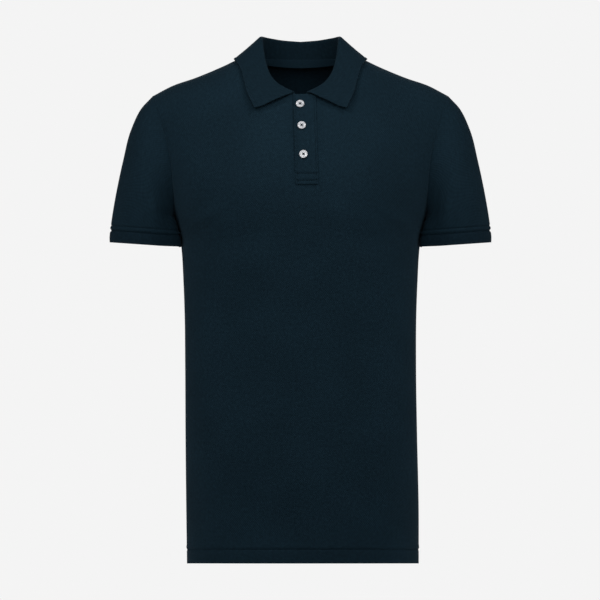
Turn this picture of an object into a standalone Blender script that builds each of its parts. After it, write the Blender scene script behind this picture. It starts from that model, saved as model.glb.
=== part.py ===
"""Short-sleeved polo shirt in pique knit, in the round shape it has when worn, with nobody in it.

+Z is up, the front faces -Y and the wearer's left is at +X. The origin is where the shirt hangs on
its wearer, midway between the two shoulders at the height where the collar meets the shoulder seams.
Sizes are in millimetres until a piece is made, when MM turns them into metres.
"""

import math

import bmesh
import bpy
import numpy as np
from mathutils import Vector
from mathutils.bvhtree import BVHTree

MM = 0.001

FRONT = -1
BACK = 1
LEFT = 1
RIGHT = -1
SIDE_NAME = {FRONT: "front", BACK: "back"}


class Table:
    """Sizes in named columns. The first column says where along the piece each row is."""

    def __init__(self, columns, *rows):
        values = np.array(rows, float).T
        self.at = values[0]
        self.sizes = dict(zip(columns[1:], values[1:]))
        self.slopes = {name: np.gradient(sizes, self.at) for name, sizes in self.sizes.items()}

    def read(self, column, at):
        """A size at any place along the table, on a smooth curve through its rows."""
        sizes = self.sizes[column]
        slopes = self.slopes[column]
        row = int(np.clip(np.searchsorted(self.at, at) - 1, 0, len(self.at) - 2))
        step = self.at[row + 1] - self.at[row]
        t = float(np.clip((at - self.at[row]) / step, 0, 1))
        ends = sizes[row] * (1 + 2 * t) * (1 - t) ** 2 + sizes[row + 1] * (3 - 2 * t) * t**2
        bends = slopes[row] * t * (1 - t) ** 2 - slopes[row + 1] * (1 - t) * t**2
        return float(ends + step * bends)


# ---------------------------------------------------------------- cloth and seams
PIQUE = 1.5  # wall of the panels and sleeves
HEM_WALL = 2.7  # pique turned up inside itself
RIB = 1.9  # wall of the cuffs
COLLAR_KNIT = 1.7
PLACKET_WALL = 1.5
TAPE_WALL = 1.0
SEAM_GAP = 0.3
PLY_GAP = 0.45  # under a piece that lies on another one's curve

# ---------------------------------------------------------------- levels of the body
HEM_HEIGHT = -722.0
HEM_TOP = HEM_HEIGHT + 20
ARMPIT_HEIGHT = -232.0
CHEST_HEIGHT = -190.0
TIP_HEIGHT = -52.0  # where the shoulder seam ends at the sleeve

BODY = Table(
    ("height", "half_width", "front", "back", "sway"),
    (-722, 166.2, 118.0, 112.0, 3.4),
    (-640, 166.7, 115.0, 109.0, 2.8),
    (-540, 166.1, 111.5, 105.0, 1.2),
    (-440, 165.6, 110.0, 103.0, 0.2),
    (-360, 166.3, 112.5, 106.0, 0.0),
    (-315, 168.0, 116.0, 111.0, 0.0),
    (-272, 170.5, 121.5, 116.0, 0.0),
    (-250, 173.2, 124.5, 118.0, 0.0),
    (-232, 179.0, 126.0, 119.5, 0.0),
    (-190, 182.5, 127.0, 121.0, 0.0),
    (-139, 187.5, 127.0, 121.0, 0.0),
    (-100, 197.0, 127.0, 121.0, 0.0),
    (-75, 205.0, 127.0, 121.0, 0.0),
    (-52, 212.0, 127.0, 121.0, 0.0),
)
SQUARENESS = 2.3  # 2 makes the body's level sections ellipses, and more makes them boxier

SHOULDER = Table(
    ("reach", "height"),
    (-36, 7.5),
    (0, 8.5),
    (36, 7.5),
    (72, 2.5),
    (100, -5.0),
    (151, -25.8),
    (184, -37.3),
    (212, -52.0),
)
SHOULDER_REACH = 212.0
DOME_AT_TIP = 2.0  # how round the cloth goes over the shoulder: 2 is a quarter ellipse
DOME_AT_NECK = {FRONT: 1.6, BACK: 2.7}

NECK_REACH = 72.0
NECK_SIDE_HEIGHT = 2.5
NECK_MIDDLE_HEIGHT = {FRONT: -49.5, BACK: -3.0}

ARMHOLE_MIDDLE = (ARMPIT_HEIGHT + TIP_HEIGHT) / 2
ARMHOLE_HALF_HEIGHT = (TIP_HEIGHT - ARMPIT_HEIGHT) / 2
ARMHOLE_DEPTH = {FRONT: 56.0, BACK: 60.0}

# ---------------------------------------------------------------- sleeves
SLEEVE = Table(
    ("along", "over_reach", "over_height", "under_reach", "under_height", "front", "back"),
    (0.00, 212.0, -52.0, 179.3, -232.0, 56.0, 60.0),
    (0.12, 229.7, -71.7, 180.0, -236.0, 56.5, 60.0),
    (0.25, 243.1, -100.4, 179.4, -239.0, 56.5, 59.5),
    (0.45, 254.2, -143.4, 178.4, -242.5, 56.0, 58.5),
    (0.65, 263.4, -186.4, 177.4, -246.0, 55.0, 57.5),
    (0.85, 270.2, -225.0, 176.4, -249.5, 54.0, 56.5),
    (1.00, 272.6, -244.5, 175.6, -252.0, 53.5, 56.0),
    (1.10, 273.6, -261.6, 174.6, -268.4, 53.0, 55.5),
)
CUFF_TOP = 1.0  # these are places along the sleeve
CUFF_START = 1.003
CUFF_END = 1.1
ARMHOLE_FADES_AT = 0.6  # how far along the sleeve the armhole's own curve is felt
UNDERARM_REST = 0.9  # between the sleeve and the side it hangs against
UNDERARM_HALF = 24.0  # half the width of the stretch that follows the side
UNDERARM_FADE = 26.0  # how far beyond that the sleeve takes to round away from it
UNDERARM_LEAD = 8.0  # how far above the armpit the sleeve starts to settle on the side
UNDERARM_DROP = 20.0  # the height over which it settles

# ---------------------------------------------------------------- collar, half of it
COLLAR = Table(
    ("round", "roll_x", "roll_y", "roll_z", "edge_x", "edge_y", "edge_z"),
    (0.034, 9.0, -72.6, -45.2, 66.0, -96.0, -68.0),
    (0.128, 21.8, -70.0, -39.5, 71.0, -90.0, -57.5),
    (0.231, 35.1, -62.5, -31.0, 76.5, -80.0, -46.0),
    (0.333, 45.2, -50.0, -18.0, 82.5, -66.0, -31.0),
    (0.444, 52.5, -32.0, 3.0, 89.5, -42.0, -11.5),
    (0.56, 56.3, -7.0, 29.5, 96.5, -8.0, -1.5),
    (0.64, 57.0, 8.0, 33.5, 96.0, 20.0, -3.0),
    (0.76, 46.0, 35.0, 31.5, 82.0, 56.0, -14.0),
    (0.88, 25.0, 50.5, 28.0, 46.0, 79.0, -24.0),
    (1.00, 0.0, 55.0, 26.0, 0.0, 87.0, -28.0),
)
COLLAR_ROLL = 2.6  # outer radius of its fold
COLLAR_DROP = 2.5  # how far the stand reaches down inside the neck seam
LEAF_LIFT = 2.0  # how far the middle of the leaf stands off the cloth beneath
FRONT_LEAF_LIFT = 6.5  # the same at the leaf's front edge
FRONT_LEAF_BOW = 2.6  # how far that edge sags below a straight line
FRONT_LEAF_SHARE = 0.2  # how far round the neck the front edge's own shape is felt
LEAF_CLEARANCE = COLLAR_KNIT + 0.8

# ---------------------------------------------------------------- placket
PLACKET_TOP = NECK_MIDDLE_HEIGHT[FRONT] - 0.1
PLACKET_BOTTOM = -178.0
PLACKET_EDGE_AT_TOP = -10.2  # its free edge, on the wearer's right
PLACKET_EDGE_AT_BOTTOM = -6.6
PLACKET_WIDTH = 32.0
PLACKET_LAP = 2.5  # how far the upper band laps over the slit's edges
SLIT_BOTTOM = -164.0

BUTTONS = (  # across, height
    (-0.4, -62.8),
    (1.8, -93.1),
    (4.4, -134.6),
)
BUTTON_RADIUS = 6.0
BUTTON_THICKNESS = 2.4
BUTTON_RIM = 1.0  # width of the raised rim
BUTTON_DISH = 0.6
BUTTON_HOLE_RADIUS = 0.75
BUTTON_HOLE_PITCH = 2.7
BUTTON_GAP = 0.3

# ---------------------------------------------------------------- neck tape
TAPE_ENDS_AT = 0.49  # places round the neck, where 0.5 is the shoulder seam
TAPE_ABOVE_SEAM = 4.5
TAPE_BELOW_FOOT = 0.5

# ---------------------------------------------------------------- how finely pieces are divided
SHOULDER_COLUMNS = 8
NECK_COLUMNS = 8
SLIT_COLUMNS = 2
ARMHOLE_ROWS = 14
LOWER_HEIGHTS = (HEM_HEIGHT, HEM_TOP, HEM_TOP + 1, -640, -572, -505, -442, -388, -342, -304, -272, -250)
SLEEVE_RINGS = (0, 0.06, 0.14, 0.25, 0.38, 0.52, 0.68, 0.84, CUFF_TOP)
CUFF_ROWS = 2
COLLAR_STAND_ROWS = 3
COLLAR_FOLD_ROWS = 4
COLLAR_FALL_ROWS = 5
FORM_STEPS = 48
BUTTON_SIDES = 20
BUTTON_HOLE_SIDES = 8
LEAST_ROW_GAP = 4.0  # a band leaves out the panel's rows that come nearer than this to its ends
NEAR_MIDDLE = 0.02  # a column that is read for the height of a row's middle
NEAR_TOP = 0.02  # the turn short of the shoulder seam where the armhole's depth is still read
SHARP_FROM = math.radians(40)  # an edge that turns more than this is a real edge


# ================================================================ the body's surface
def section_share(angle):
    """How far across and how far out a level section is at an angle from the front or back."""
    power = 2 / SQUARENESS
    return abs(math.sin(angle)) ** power, abs(math.cos(angle)) ** power


class Level:
    """One row of the body, from side seam to side seam or from armhole to armhole."""

    def __init__(self, side, up):
        """up is 0 at the hem, 1 at the armpits and 2 at the shoulder seams."""
        swing = max(up - 1, 0) * math.pi
        if up <= 1:
            self.height = HEM_HEIGHT + up * (ARMPIT_HEIGHT - HEM_HEIGHT)
        else:
            self.height = ARMHOLE_MIDDLE - ARMHOLE_HALF_HEIGHT * math.cos(swing)
        self.lift = self.lift_at(self.height)
        self.half_width = BODY.read("half_width", self.height)
        self.depth = BODY.read(SIDE_NAME[side], self.height)
        nearly_up = min(swing, math.pi - NEAR_TOP)
        lift = self.lift_at(ARMHOLE_MIDDLE - ARMHOLE_HALF_HEIGHT * math.cos(nearly_up))
        self.edge_share = ARMHOLE_DEPTH[side] * math.sin(nearly_up) / (self.depth * math.cos(lift))
        self.turn = math.acos(max(self.edge_share, 0) ** (SQUARENESS / 2))

    @staticmethod
    def lift_at(height):
        """The angle that a row has climbed over the shoulder, 0 up to the chest."""
        return math.asin(min(max((height - CHEST_HEIGHT) / (TIP_HEIGHT - CHEST_HEIGHT), 0), 1))

    def reach(self, across):
        """How far from the middle a column stands on this row."""
        wide = section_share(across * self.turn)[0] / section_share(self.turn)[0]
        return math.copysign(self.half_width * wide, across)

    def across(self, reach):
        """The column that stands that far from the middle."""
        share = abs(reach) / self.half_width * section_share(self.turn)[0]
        return math.copysign(math.asin(share ** (SQUARENESS / 2)) / self.turn, reach)


TOP_LEVEL = {side: Level(side, 2) for side in (FRONT, BACK)}


def neckline_height(side, reach):
    """The height of the neck seam, a quarter ellipse from its middle to the shoulder seam."""
    middle = NECK_MIDDLE_HEIGHT[side]
    bend = 1 - math.sqrt(max(1 - (reach / NECK_REACH) ** 2, 0))
    return middle + (NECK_SIDE_HEIGHT - middle) * bend


def body_point(side, across, up, neck_cut=True):
    """A point of the outer face of the front or the back. across runs from -1 to 1."""
    level = Level(side, up)
    x = level.reach(across)
    height = level.height
    out = section_share(across * level.turn)[1]
    if level.lift > 0:
        reach = abs(TOP_LEVEL[side].reach(across))
        top = SHOULDER.read("height", reach)
        outward = math.sin(math.pi / 2 * reach / SHOULDER_REACH) ** 2
        dome = DOME_AT_NECK[side] + (DOME_AT_TIP - DOME_AT_NECK[side]) * outward
        lift = level.lift
        if neck_cut and reach < NECK_REACH:
            share = (neckline_height(side, reach) - CHEST_HEIGHT) / (top - CHEST_HEIGHT)
            lift *= math.asin(min(share ** (dome / 2), 1)) / (math.pi / 2)
        height = CHEST_HEIGHT + (top - CHEST_HEIGHT) * math.sin(lift) ** (2 / dome)
        out *= max(math.cos(lift), 0) ** (2 / dome)
    y = side * (level.depth * out + SEAM_GAP / 2)
    return Vector((x + BODY.read("sway", height), y, height))


def body_normal(side, across, up):
    """The way that the body's surface faces."""
    step = 0.004
    across_ends = [min(max(across + sign * step, -1), 1) for sign in (-1, 1)]
    up_ends = [min(max(up + sign * step, 0), 2) for sign in (-1, 1)]
    wide = body_point(side, across_ends[1], up) - body_point(side, across_ends[0], up)
    tall = body_point(side, across, up_ends[1]) - body_point(side, across, up_ends[0])
    return (-side * wide.cross(tall)).normalized()


# ================================================================ making cloth
def make_object(name, bm, material):
    """An object of a finished mesh, in metres, shaded smooth but for its real edges."""
    bmesh.ops.scale(bm, vec=(MM, MM, MM), verts=bm.verts[:])
    mesh = bpy.data.meshes.new(name)
    bm.to_mesh(mesh)
    bm.free()
    mesh.materials.append(material)
    mesh.shade_smooth()
    mesh.set_sharp_from_angle(angle=SHARP_FROM)
    obj = bpy.data.objects.new(name, mesh)
    bpy.context.scene.collection.objects.link(obj)
    return obj


def grid_sheet(columns, rows, place):
    """A sheet of columns by rows, each corner (column, row) put where place says."""
    bm = bmesh.new()
    bmesh.ops.create_grid(bm, x_segments=columns, y_segments=rows, size=1)
    column_layer = bm.verts.layers.int.new("column")
    row_layer = bm.verts.layers.int.new("row")
    for vert in bm.verts:
        vert[column_layer] = round((vert.co.x + 1) / 2 * columns)
        vert[row_layer] = round((vert.co.y + 1) / 2 * rows)
        vert.co = place(vert[column_layer], vert[row_layer])
    return bm


def close_tube(bm):
    """Joins a sheet's first and last columns, which lie on each other."""
    bmesh.ops.remove_doubles(bm, verts=bm.verts[:], dist=0.001)


def thicken(bm, wall, facing=None):
    """Gives a sheet its wall, inwards from its outer face.

    wall is a thickness or gives one for each (column, row), and facing may give a corner's outward
    direction where it meets a neighbour, so that both walls end on one line.
    """
    column_layer = bm.verts.layers.int["column"]
    row_layer = bm.verts.layers.int["row"]
    inward_layer = bm.verts.layers.float_vector.new("inward")
    bm.normal_update()
    for vert in bm.verts:
        place = vert[column_layer], vert[row_layer]
        outward = (facing and facing(*place, vert)) or vert.normal
        vert[inward_layer] = -outward * (wall(*place) if callable(wall) else wall)
    made = bmesh.ops.extrude_face_region(bm, geom=bm.faces[:])
    for item in made["geom"]:
        if isinstance(item, bmesh.types.BMVert):
            item.co += item[inward_layer]
    bmesh.ops.recalc_face_normals(bm, faces=bm.faces[:])


def level_direction(vert):
    """The outward direction of a corner on a side or shoulder seam, which stays in the seam's plane."""
    return Vector((vert.normal.x, 0, vert.normal.z)).normalized()


# ================================================================ front and back
def up_of(height):
    return (height - HEM_HEIGHT) / (ARMPIT_HEIGHT - HEM_HEIGHT)


UPS = [up_of(height) for height in LOWER_HEIGHTS]
UPS += [1 + row / ARMHOLE_ROWS for row in range(ARMHOLE_ROWS + 1)]
ARMPIT_ROW = len(LOWER_HEIGHTS)


def neck_place(around):
    """The side and column of the neck seam. around is 0 at the middle back and 1 or -1 at the front."""
    side = FRONT if abs(around) > 0.5 else BACK
    reach = NECK_REACH * math.sin(math.pi * abs(around))
    return side, math.copysign(TOP_LEVEL[side].across(reach), around)


def middle_height(side, up):
    return body_point(side, NEAR_MIDDLE, up).z


def placket_edge(height):
    """The x of the placket's free edge, which leans a little."""
    down = (PLACKET_TOP - height) / (PLACKET_TOP - PLACKET_BOTTOM)
    down = min(max(down, 0), 1)
    return PLACKET_EDGE_AT_TOP + down * (PLACKET_EDGE_AT_BOTTOM - PLACKET_EDGE_AT_TOP)


def placket_across(up, share, lap=0.0):
    """The front's column at a share of the placket's width, drawn in by lap at each edge."""
    edge = placket_edge(middle_height(FRONT, up))
    start = edge + lap
    end = edge + PLACKET_WIDTH - lap
    return Level(FRONT, up).across(start + share * (end - start))


def place_at(x, height):
    """The column and row of the front that meet at a place, found by halving."""
    low, high = 1.0, 2.0
    while high - low > 1e-5:
        up = (low + high) / 2
        if body_point(FRONT, Level(FRONT, up).across(x), up).z < height:
            low = up
        else:
            high = up
    return Level(FRONT, low).across(x), low


def straight_across(height, share, lap):
    """The column and row at a share of the placket's width, on a straight line across it."""
    x = placket_edge(height) + lap + share * (PLACKET_WIDTH - 2 * lap)
    return place_at(x, height)


def front_neck_stations(wearer_side):
    """Places round the neck seam from the shoulder seam to the slit's edge."""
    slit = PLACKET_LAP if wearer_side == RIGHT else PLACKET_WIDTH - PLACKET_LAP
    reach = abs(placket_edge(PLACKET_TOP) + slit)
    end = 1 - math.asin(reach / NECK_REACH) / math.pi
    return wearer_side * np.linspace(0.5, end, NECK_COLUMNS + 1)


def back_neck_stations(wearer_side):
    return wearer_side * np.linspace(0.5, 0, NECK_COLUMNS + 1)


def half_columns(wearer_side, up, inner, stations):
    """A row's columns from its side edge in to the column called inner.

    They stand evenly below the armpits. Above, they draw together to end on the neck's stations.
    """
    even = np.linspace(wearer_side, inner, SHOULDER_COLUMNS + NECK_COLUMNS + 1)
    neck = [neck_place(station)[1] for station in stations]
    shoulder = np.linspace(wearer_side, neck[0], SHOULDER_COLUMNS + 1)
    drawn = np.concatenate([shoulder, neck[1:-1], [inner]])
    return even + (drawn - even) * max(up - 1, 0)


def front_columns(up):
    """The front's columns on a row, the middle ones along the slit's two edges."""
    slit = [placket_across(up, share / SLIT_COLUMNS, PLACKET_LAP) for share in range(SLIT_COLUMNS + 1)]
    right = half_columns(RIGHT, up, slit[0], front_neck_stations(RIGHT))
    left = half_columns(LEFT, up, slit[-1], front_neck_stations(LEFT))
    return [*right, *slit[1:-1], *left[::-1]]


def back_columns(up):
    left = half_columns(LEFT, up, 0, back_neck_stations(LEFT))
    right = half_columns(RIGHT, up, 0, back_neck_stations(RIGHT))
    return [*left, *right[::-1][1:]]


def panel_wall(column, row):
    return HEM_WALL if LOWER_HEIGHTS[min(row, ARMPIT_ROW - 1)] <= HEM_TOP else PIQUE


def seam_facing(last_column, side):
    """The outward direction of a panel's edge corners, shared with the neighbour they meet."""

    def facing(column, row, vert):
        if column in (0, last_column) and row > ARMPIT_ROW:
            wearer_side = LEFT if vert.co.x > 0 else RIGHT
            return armhole_facing(wearer_side, side, UPS[row])
        if abs(vert.co.y) < SEAM_GAP:
            return level_direction(vert)
        return None

    return facing


def make_front(material):
    rows = [front_columns(up) for up in UPS]
    columns = len(rows[0]) - 1
    first_slit_column = SHOULDER_COLUMNS + NECK_COLUMNS

    def place(column, row):
        share = (column - first_slit_column) / SLIT_COLUMNS
        if row == SLIT_ROW and 0 <= share <= 1:
            return body_point(FRONT, *straight_across(SLIT_BOTTOM, share, PLACKET_LAP))
        return body_point(FRONT, rows[row][column], UPS[row])

    bm = grid_sheet(columns, len(UPS) - 1, place)
    column_layer = bm.verts.layers.int["column"]
    row_layer = bm.verts.layers.int["row"]
    slit_faces = [
        face
        for face in bm.faces
        if min(v[column_layer] for v in face.verts) >= first_slit_column
        and max(v[column_layer] for v in face.verts) <= first_slit_column + SLIT_COLUMNS
        and min(v[row_layer] for v in face.verts) >= SLIT_ROW
    ]
    bmesh.ops.delete(bm, geom=slit_faces, context="FACES")
    thicken(bm, panel_wall, seam_facing(columns, FRONT))
    return make_object("body_front", bm, material)


def make_back(material):
    rows = [back_columns(up) for up in UPS]
    columns = len(rows[0]) - 1
    bm = grid_sheet(columns, len(UPS) - 1, lambda column, row: body_point(BACK, rows[row][column], UPS[row]))
    thicken(bm, panel_wall, seam_facing(columns, BACK))
    return make_object("body_back", bm, material)


# ================================================================ sleeves and cuffs
def eased(share):
    """A share from 0 to 1 that leaves and arrives gently."""
    share = min(max(share, 0), 1)
    return share**2 * (3 - 2 * share)


def side_reach(y, height):
    """How far out the body's side is, below the armpits."""
    half_width = BODY.read("half_width", height)
    depth = BODY.read(SIDE_NAME[FRONT if y < 0 else BACK], height)
    return half_width * max(1 - abs(y / depth) ** SQUARENESS, 0) ** (1 / SQUARENESS)


def armhole_point(around):
    """The armhole's edge on the wearer's left: around is 0 at the armpit and 0.5 at the shoulder."""
    side = FRONT if around <= 0.5 else BACK
    up = 1 + 2 * min(around, 1 - around)
    point = body_point(side, 1, up)
    if around in (0, 0.5, 1):
        point.y = 0
    return point


def sleeve_section(around, along):
    """A point of the plain oval that a sleeve's section would be on its own."""
    over = Vector((SLEEVE.read("over_reach", along), 0, SLEEVE.read("over_height", along)))
    under = Vector((SLEEVE.read("under_reach", along), 0, SLEEVE.read("under_height", along)))
    turn = 2 * math.pi * around
    point = (over + under) / 2 + (under - over) / 2 * math.cos(turn)
    depth = SLEEVE.read("front" if math.sin(turn) > 0 else "back", along)
    point.y = -depth * math.sin(turn)
    return point


def sleeve_point(around, along):
    """A point of the sleeve's or cuff's outer face, on the wearer's left."""
    point = sleeve_section(around, along)
    fade = max(1 - along / ARMHOLE_FADES_AT, 0) ** 2
    point += (armhole_point(around) - sleeve_section(around, 0)) * fade
    point.x += SEAM_GAP * max(1 - along * 8, 0)
    if min(around, 1 - around) < 0.25:
        rest = side_reach(point.y, point.z) + UNDERARM_REST
        beside = eased(1 - (abs(point.y) - UNDERARM_HALF) / UNDERARM_FADE)
        below = eased((ARMPIT_HEIGHT + UNDERARM_LEAD - point.z) / UNDERARM_DROP)
        free = eased(along / SLEEVE_RINGS[2])
        point.x += (rest - point.x) * beside * below * free
    return point


def sleeve_normal(around, along):
    step = 0.01
    wide = sleeve_point(around + step, along) - sleeve_point(around - step, along)
    tall = sleeve_point(around, along + step) - sleeve_point(around, along)
    return wide.cross(tall).normalized() * -1


def armhole_facing(wearer_side, side, up):
    """The shared outward direction of body and sleeve at the armhole, or None where they fold apart."""
    around = (up - 1) / 2 if side == FRONT else 1 - (up - 1) / 2
    body = body_normal(side, 1, up)
    sleeve = sleeve_normal(around, 0)
    if body.dot(sleeve) < 0.5:
        return None
    shared = (body + sleeve).normalized()
    if up > 1.999:
        shared.y = 0
        shared.normalize()
    return Vector((shared.x * wearer_side, shared.y, shared.z))


def mirrored(point, wearer_side):
    return Vector((point.x * wearer_side, point.y, point.z))


def make_sleeve(name, wearer_side, material):
    """A tube of one cut piece, its first ring on the armhole and its seam under the arm."""
    around_count = 2 * ARMHOLE_ROWS
    ring_count = len(SLEEVE_RINGS) - 1

    def place(column, row):
        around = column / around_count
        return mirrored(sleeve_point(around, SLEEVE_RINGS[row]), wearer_side)

    def facing(column, row, vert):
        around = column / around_count
        if row == ring_count:
            return mirrored(sleeve_normal(around, CUFF_TOP), wearer_side)
        if row > 0:
            return None
        side = FRONT if around <= 0.5 else BACK
        up = 1 + 2 * min(around, 1 - around)
        return armhole_facing(wearer_side, side, up) if up > 1 else None

    bm = grid_sheet(around_count, ring_count, place)
    close_tube(bm)
    turn_outward(bm)
    thicken(bm, PIQUE, facing)
    return make_object(name, bm, material)


def make_cuff(name, wearer_side, material):
    """A band of rib knit on the end of the sleeve."""
    around_count = 2 * ARMHOLE_ROWS

    def place(column, row):
        along = CUFF_START + (CUFF_END - CUFF_START) * row / CUFF_ROWS
        return mirrored(sleeve_point(column / around_count, along), wearer_side)

    def facing(column, row, vert):
        around = column / around_count
        return mirrored(sleeve_normal(around, CUFF_TOP), wearer_side) if row == 0 else None

    bm = grid_sheet(around_count, CUFF_ROWS, place)
    close_tube(bm)
    turn_outward(bm)
    thicken(bm, RIB, facing)
    return make_object(name, bm, material)


def turn_outward(bm):
    """Makes an open tube's faces point away from its middle."""
    middle = sum((v.co for v in bm.verts), Vector()) / len(bm.verts)
    bm.normal_update()
    facing_out = sum(f.normal.dot(f.calc_center_median() - middle) * f.calc_area() for f in bm.faces)
    if facing_out < 0:
        bmesh.ops.reverse_faces(bm, faces=bm.faces[:])


# ================================================================ collar and neck tape
def collar_curve(name, around):
    """A point of the collar's roll line or outer edge."""
    share = 1 - abs(around)
    point = Vector([COLLAR.read(f"{name}_{axis}", share) for axis in "xyz"])
    point.x *= math.copysign(1, around)
    return point


def collar_foot(around):
    """The stand's lower end, on its neck side, just inside the panels' edge."""
    side, across = neck_place(around)
    inner = body_point(side, across, 2) - body_normal(side, across, 2) * PIQUE
    neckward = -Vector((inner.x, inner.y, 0)).normalized()
    return inner + neckward * (SEAM_GAP + COLLAR_KNIT) - Vector((0, 0, COLLAR_DROP))


def over_body(point, least, form):
    """The point, moved out where it is nearer to the body than least."""
    nearest, normal, _, _ = form.find_nearest(point)
    edge = placket_edge(nearest.z)
    if nearest.y < 0 and edge - PLACKET_LAP < nearest.x < edge + PLACKET_WIDTH + PLACKET_LAP:
        least += PLY_GAP + PLACKET_WALL
    height = (point - nearest).dot(normal)
    return point + normal * max(least - height, 0)


def collar_profile(around, form):
    """The collar's section from the neck seam over its fold to its outer edge, on the shown face."""
    roll = collar_curve("roll", around)
    edge = over_body(collar_curve("edge", around), LEAF_CLEARANCE, form)
    foot = collar_foot(around)
    outward = Vector((roll.x, roll.y, 0)).normalized()
    up = Vector((0, 0, 1))
    centre = roll - up * COLLAR_ROLL
    leaf = edge - roll
    steep = math.atan2(-leaf.z, max(leaf.dot(outward), 0.01))
    fold = [
        centre + COLLAR_ROLL * (up * math.sin(turn) - outward * math.cos(turn))
        for turn in np.linspace(0, math.pi / 2 + steep, COLLAR_FOLD_ROWS + 1)
    ]
    stand = [foot.lerp(fold[0], row / COLLAR_STAND_ROWS) for row in range(COLLAR_STAND_ROWS)]
    near_front = eased((abs(around) - 1 + FRONT_LEAF_SHARE) / FRONT_LEAF_SHARE)
    lift = LEAF_LIFT + (FRONT_LEAF_LIFT - LEAF_LIFT) * near_front
    fall = []
    for row in range(1, COLLAR_FALL_ROWS + 1):
        share = row / COLLAR_FALL_ROWS
        arch = math.sin(math.pi * share)
        point = fold[-1].lerp(edge, share) - up * FRONT_LEAF_BOW * near_front * arch
        fall.append(over_body(point, LEAF_CLEARANCE + lift * arch, form))
    return [*stand, *fold, *fall]


def body_form():
    """The body's outer face with no neck opening, for what lies on it to be set against."""
    points, faces = [], []
    steps = FORM_STEPS
    for side in (FRONT, BACK):
        first = len(points)
        for row in range(steps + 1):
            for column in range(steps + 1):
                across = side * (1 - 2 * column / steps)
                points.append(body_point(side, across, 1 + row / steps, neck_cut=False))
        for row in range(steps):
            for column in range(steps):
                corner = first + row * (steps + 1) + column
                faces.append((corner, corner + 1, corner + steps + 2, corner + steps + 1))
    return BVHTree.FromPolygons(points, faces)


def collar_stations():
    """Places round the neck from one end of the collar to the other, on the panels' own columns."""
    right = front_neck_stations(RIGHT)
    left = front_neck_stations(LEFT)
    back = [*back_neck_stations(RIGHT), *back_neck_stations(LEFT)[::-1][1:]]
    return [*right[::-1], *back[1:-1], *left, -right[-1]]


def make_collar(form, material):
    """One folded length of flat knit: a stand up from the neck seam and a leaf that falls outside it."""
    profiles = [collar_profile(around, form) for around in collar_stations()]
    bm = grid_sheet(len(profiles) - 1, len(profiles[0]) - 1, lambda column, row: profiles[column][row])
    thicken(bm, COLLAR_KNIT)
    return make_object("collar", bm, material)


def tape_profile(around):
    """The tape's section over the back neck seam, on the face that shows inside the neck."""
    side, across = neck_place(around)
    foot = collar_foot(around)
    stand = (collar_curve("roll", around) - foot).normalized()
    neckward = -Vector((foot.x, foot.y, 0)).normalized()
    off_stand = (neckward - stand * neckward.dot(stand)).normalized()
    proud = off_stand * (PLY_GAP + TAPE_WALL)
    top = foot + stand * (COLLAR_DROP + TAPE_ABOVE_SEAM) + proud
    bottom = foot - stand * TAPE_BELOW_FOOT + proud
    return [top, top.lerp(bottom, 0.5), bottom]


def make_neck_tape(material):
    """A narrow tape that covers the back neck seam, from one shoulder seam nearly to the other."""
    stations = [around for around in collar_stations() if abs(around) < TAPE_ENDS_AT]
    profiles = [tape_profile(around) for around in reversed(stations)]
    rows = len(profiles[0]) - 1
    bm = grid_sheet(len(profiles) - 1, rows, lambda column, row: profiles[column][rows - row])
    thicken(bm, TAPE_WALL)
    return make_object("neck_tape", bm, material)


# ================================================================ placket and buttons
def make_band(name, bottom, lap, lifted, material):
    """A straight band over or in the slit, made from the front's own points, moved out."""
    lowest = bottom + LEAST_ROW_GAP
    highest = PLACKET_TOP - LEAST_ROW_GAP
    between = [up for up in UPS if lowest < middle_height(FRONT, up) < highest]

    def place(column, row):
        share = column / SLIT_COLUMNS
        if 0 < row <= len(between):
            up = between[row - 1]
            across = placket_across(up, share, lap)
        else:
            across, up = straight_across(PLACKET_TOP if row else bottom, share, lap)
        return body_point(FRONT, across, up) + body_normal(FRONT, across, up) * lifted

    bm = grid_sheet(SLIT_COLUMNS, len(between) + 1, place)
    thicken(bm, PLACKET_WALL)
    return make_object(name, bm, material)


def button_mesh():
    """A dished disc with a raised rim and four holes, its back on the plane z = 0."""
    profile = (
        (0, BUTTON_THICKNESS - BUTTON_DISH),
        (BUTTON_RADIUS - 2 * BUTTON_RIM, BUTTON_THICKNESS - BUTTON_DISH),
        (BUTTON_RADIUS - BUTTON_RIM, BUTTON_THICKNESS),
        (BUTTON_RADIUS - 0.3 * BUTTON_RIM, BUTTON_THICKNESS - 0.2),
        (BUTTON_RADIUS, BUTTON_THICKNESS / 2),
        (BUTTON_RADIUS - 1.2 * BUTTON_RIM, 0),
        (0, 0),
    )
    bm = bmesh.new()
    verts = [bm.verts.new((radius, 0, height)) for radius, height in profile]
    edges = [bm.edges.new(pair) for pair in zip(verts, verts[1:])]
    bmesh.ops.spin(
        bm,
        geom=verts + edges,
        axis=(0, 0, 1),
        cent=(0, 0, 0),
        angle=2 * math.pi,
        steps=BUTTON_SIDES,
        use_merge=True,
    )
    bmesh.ops.remove_doubles(bm, verts=bm.verts[:], dist=0.001)
    bmesh.ops.recalc_face_normals(bm, faces=bm.faces[:])
    return bm


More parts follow.
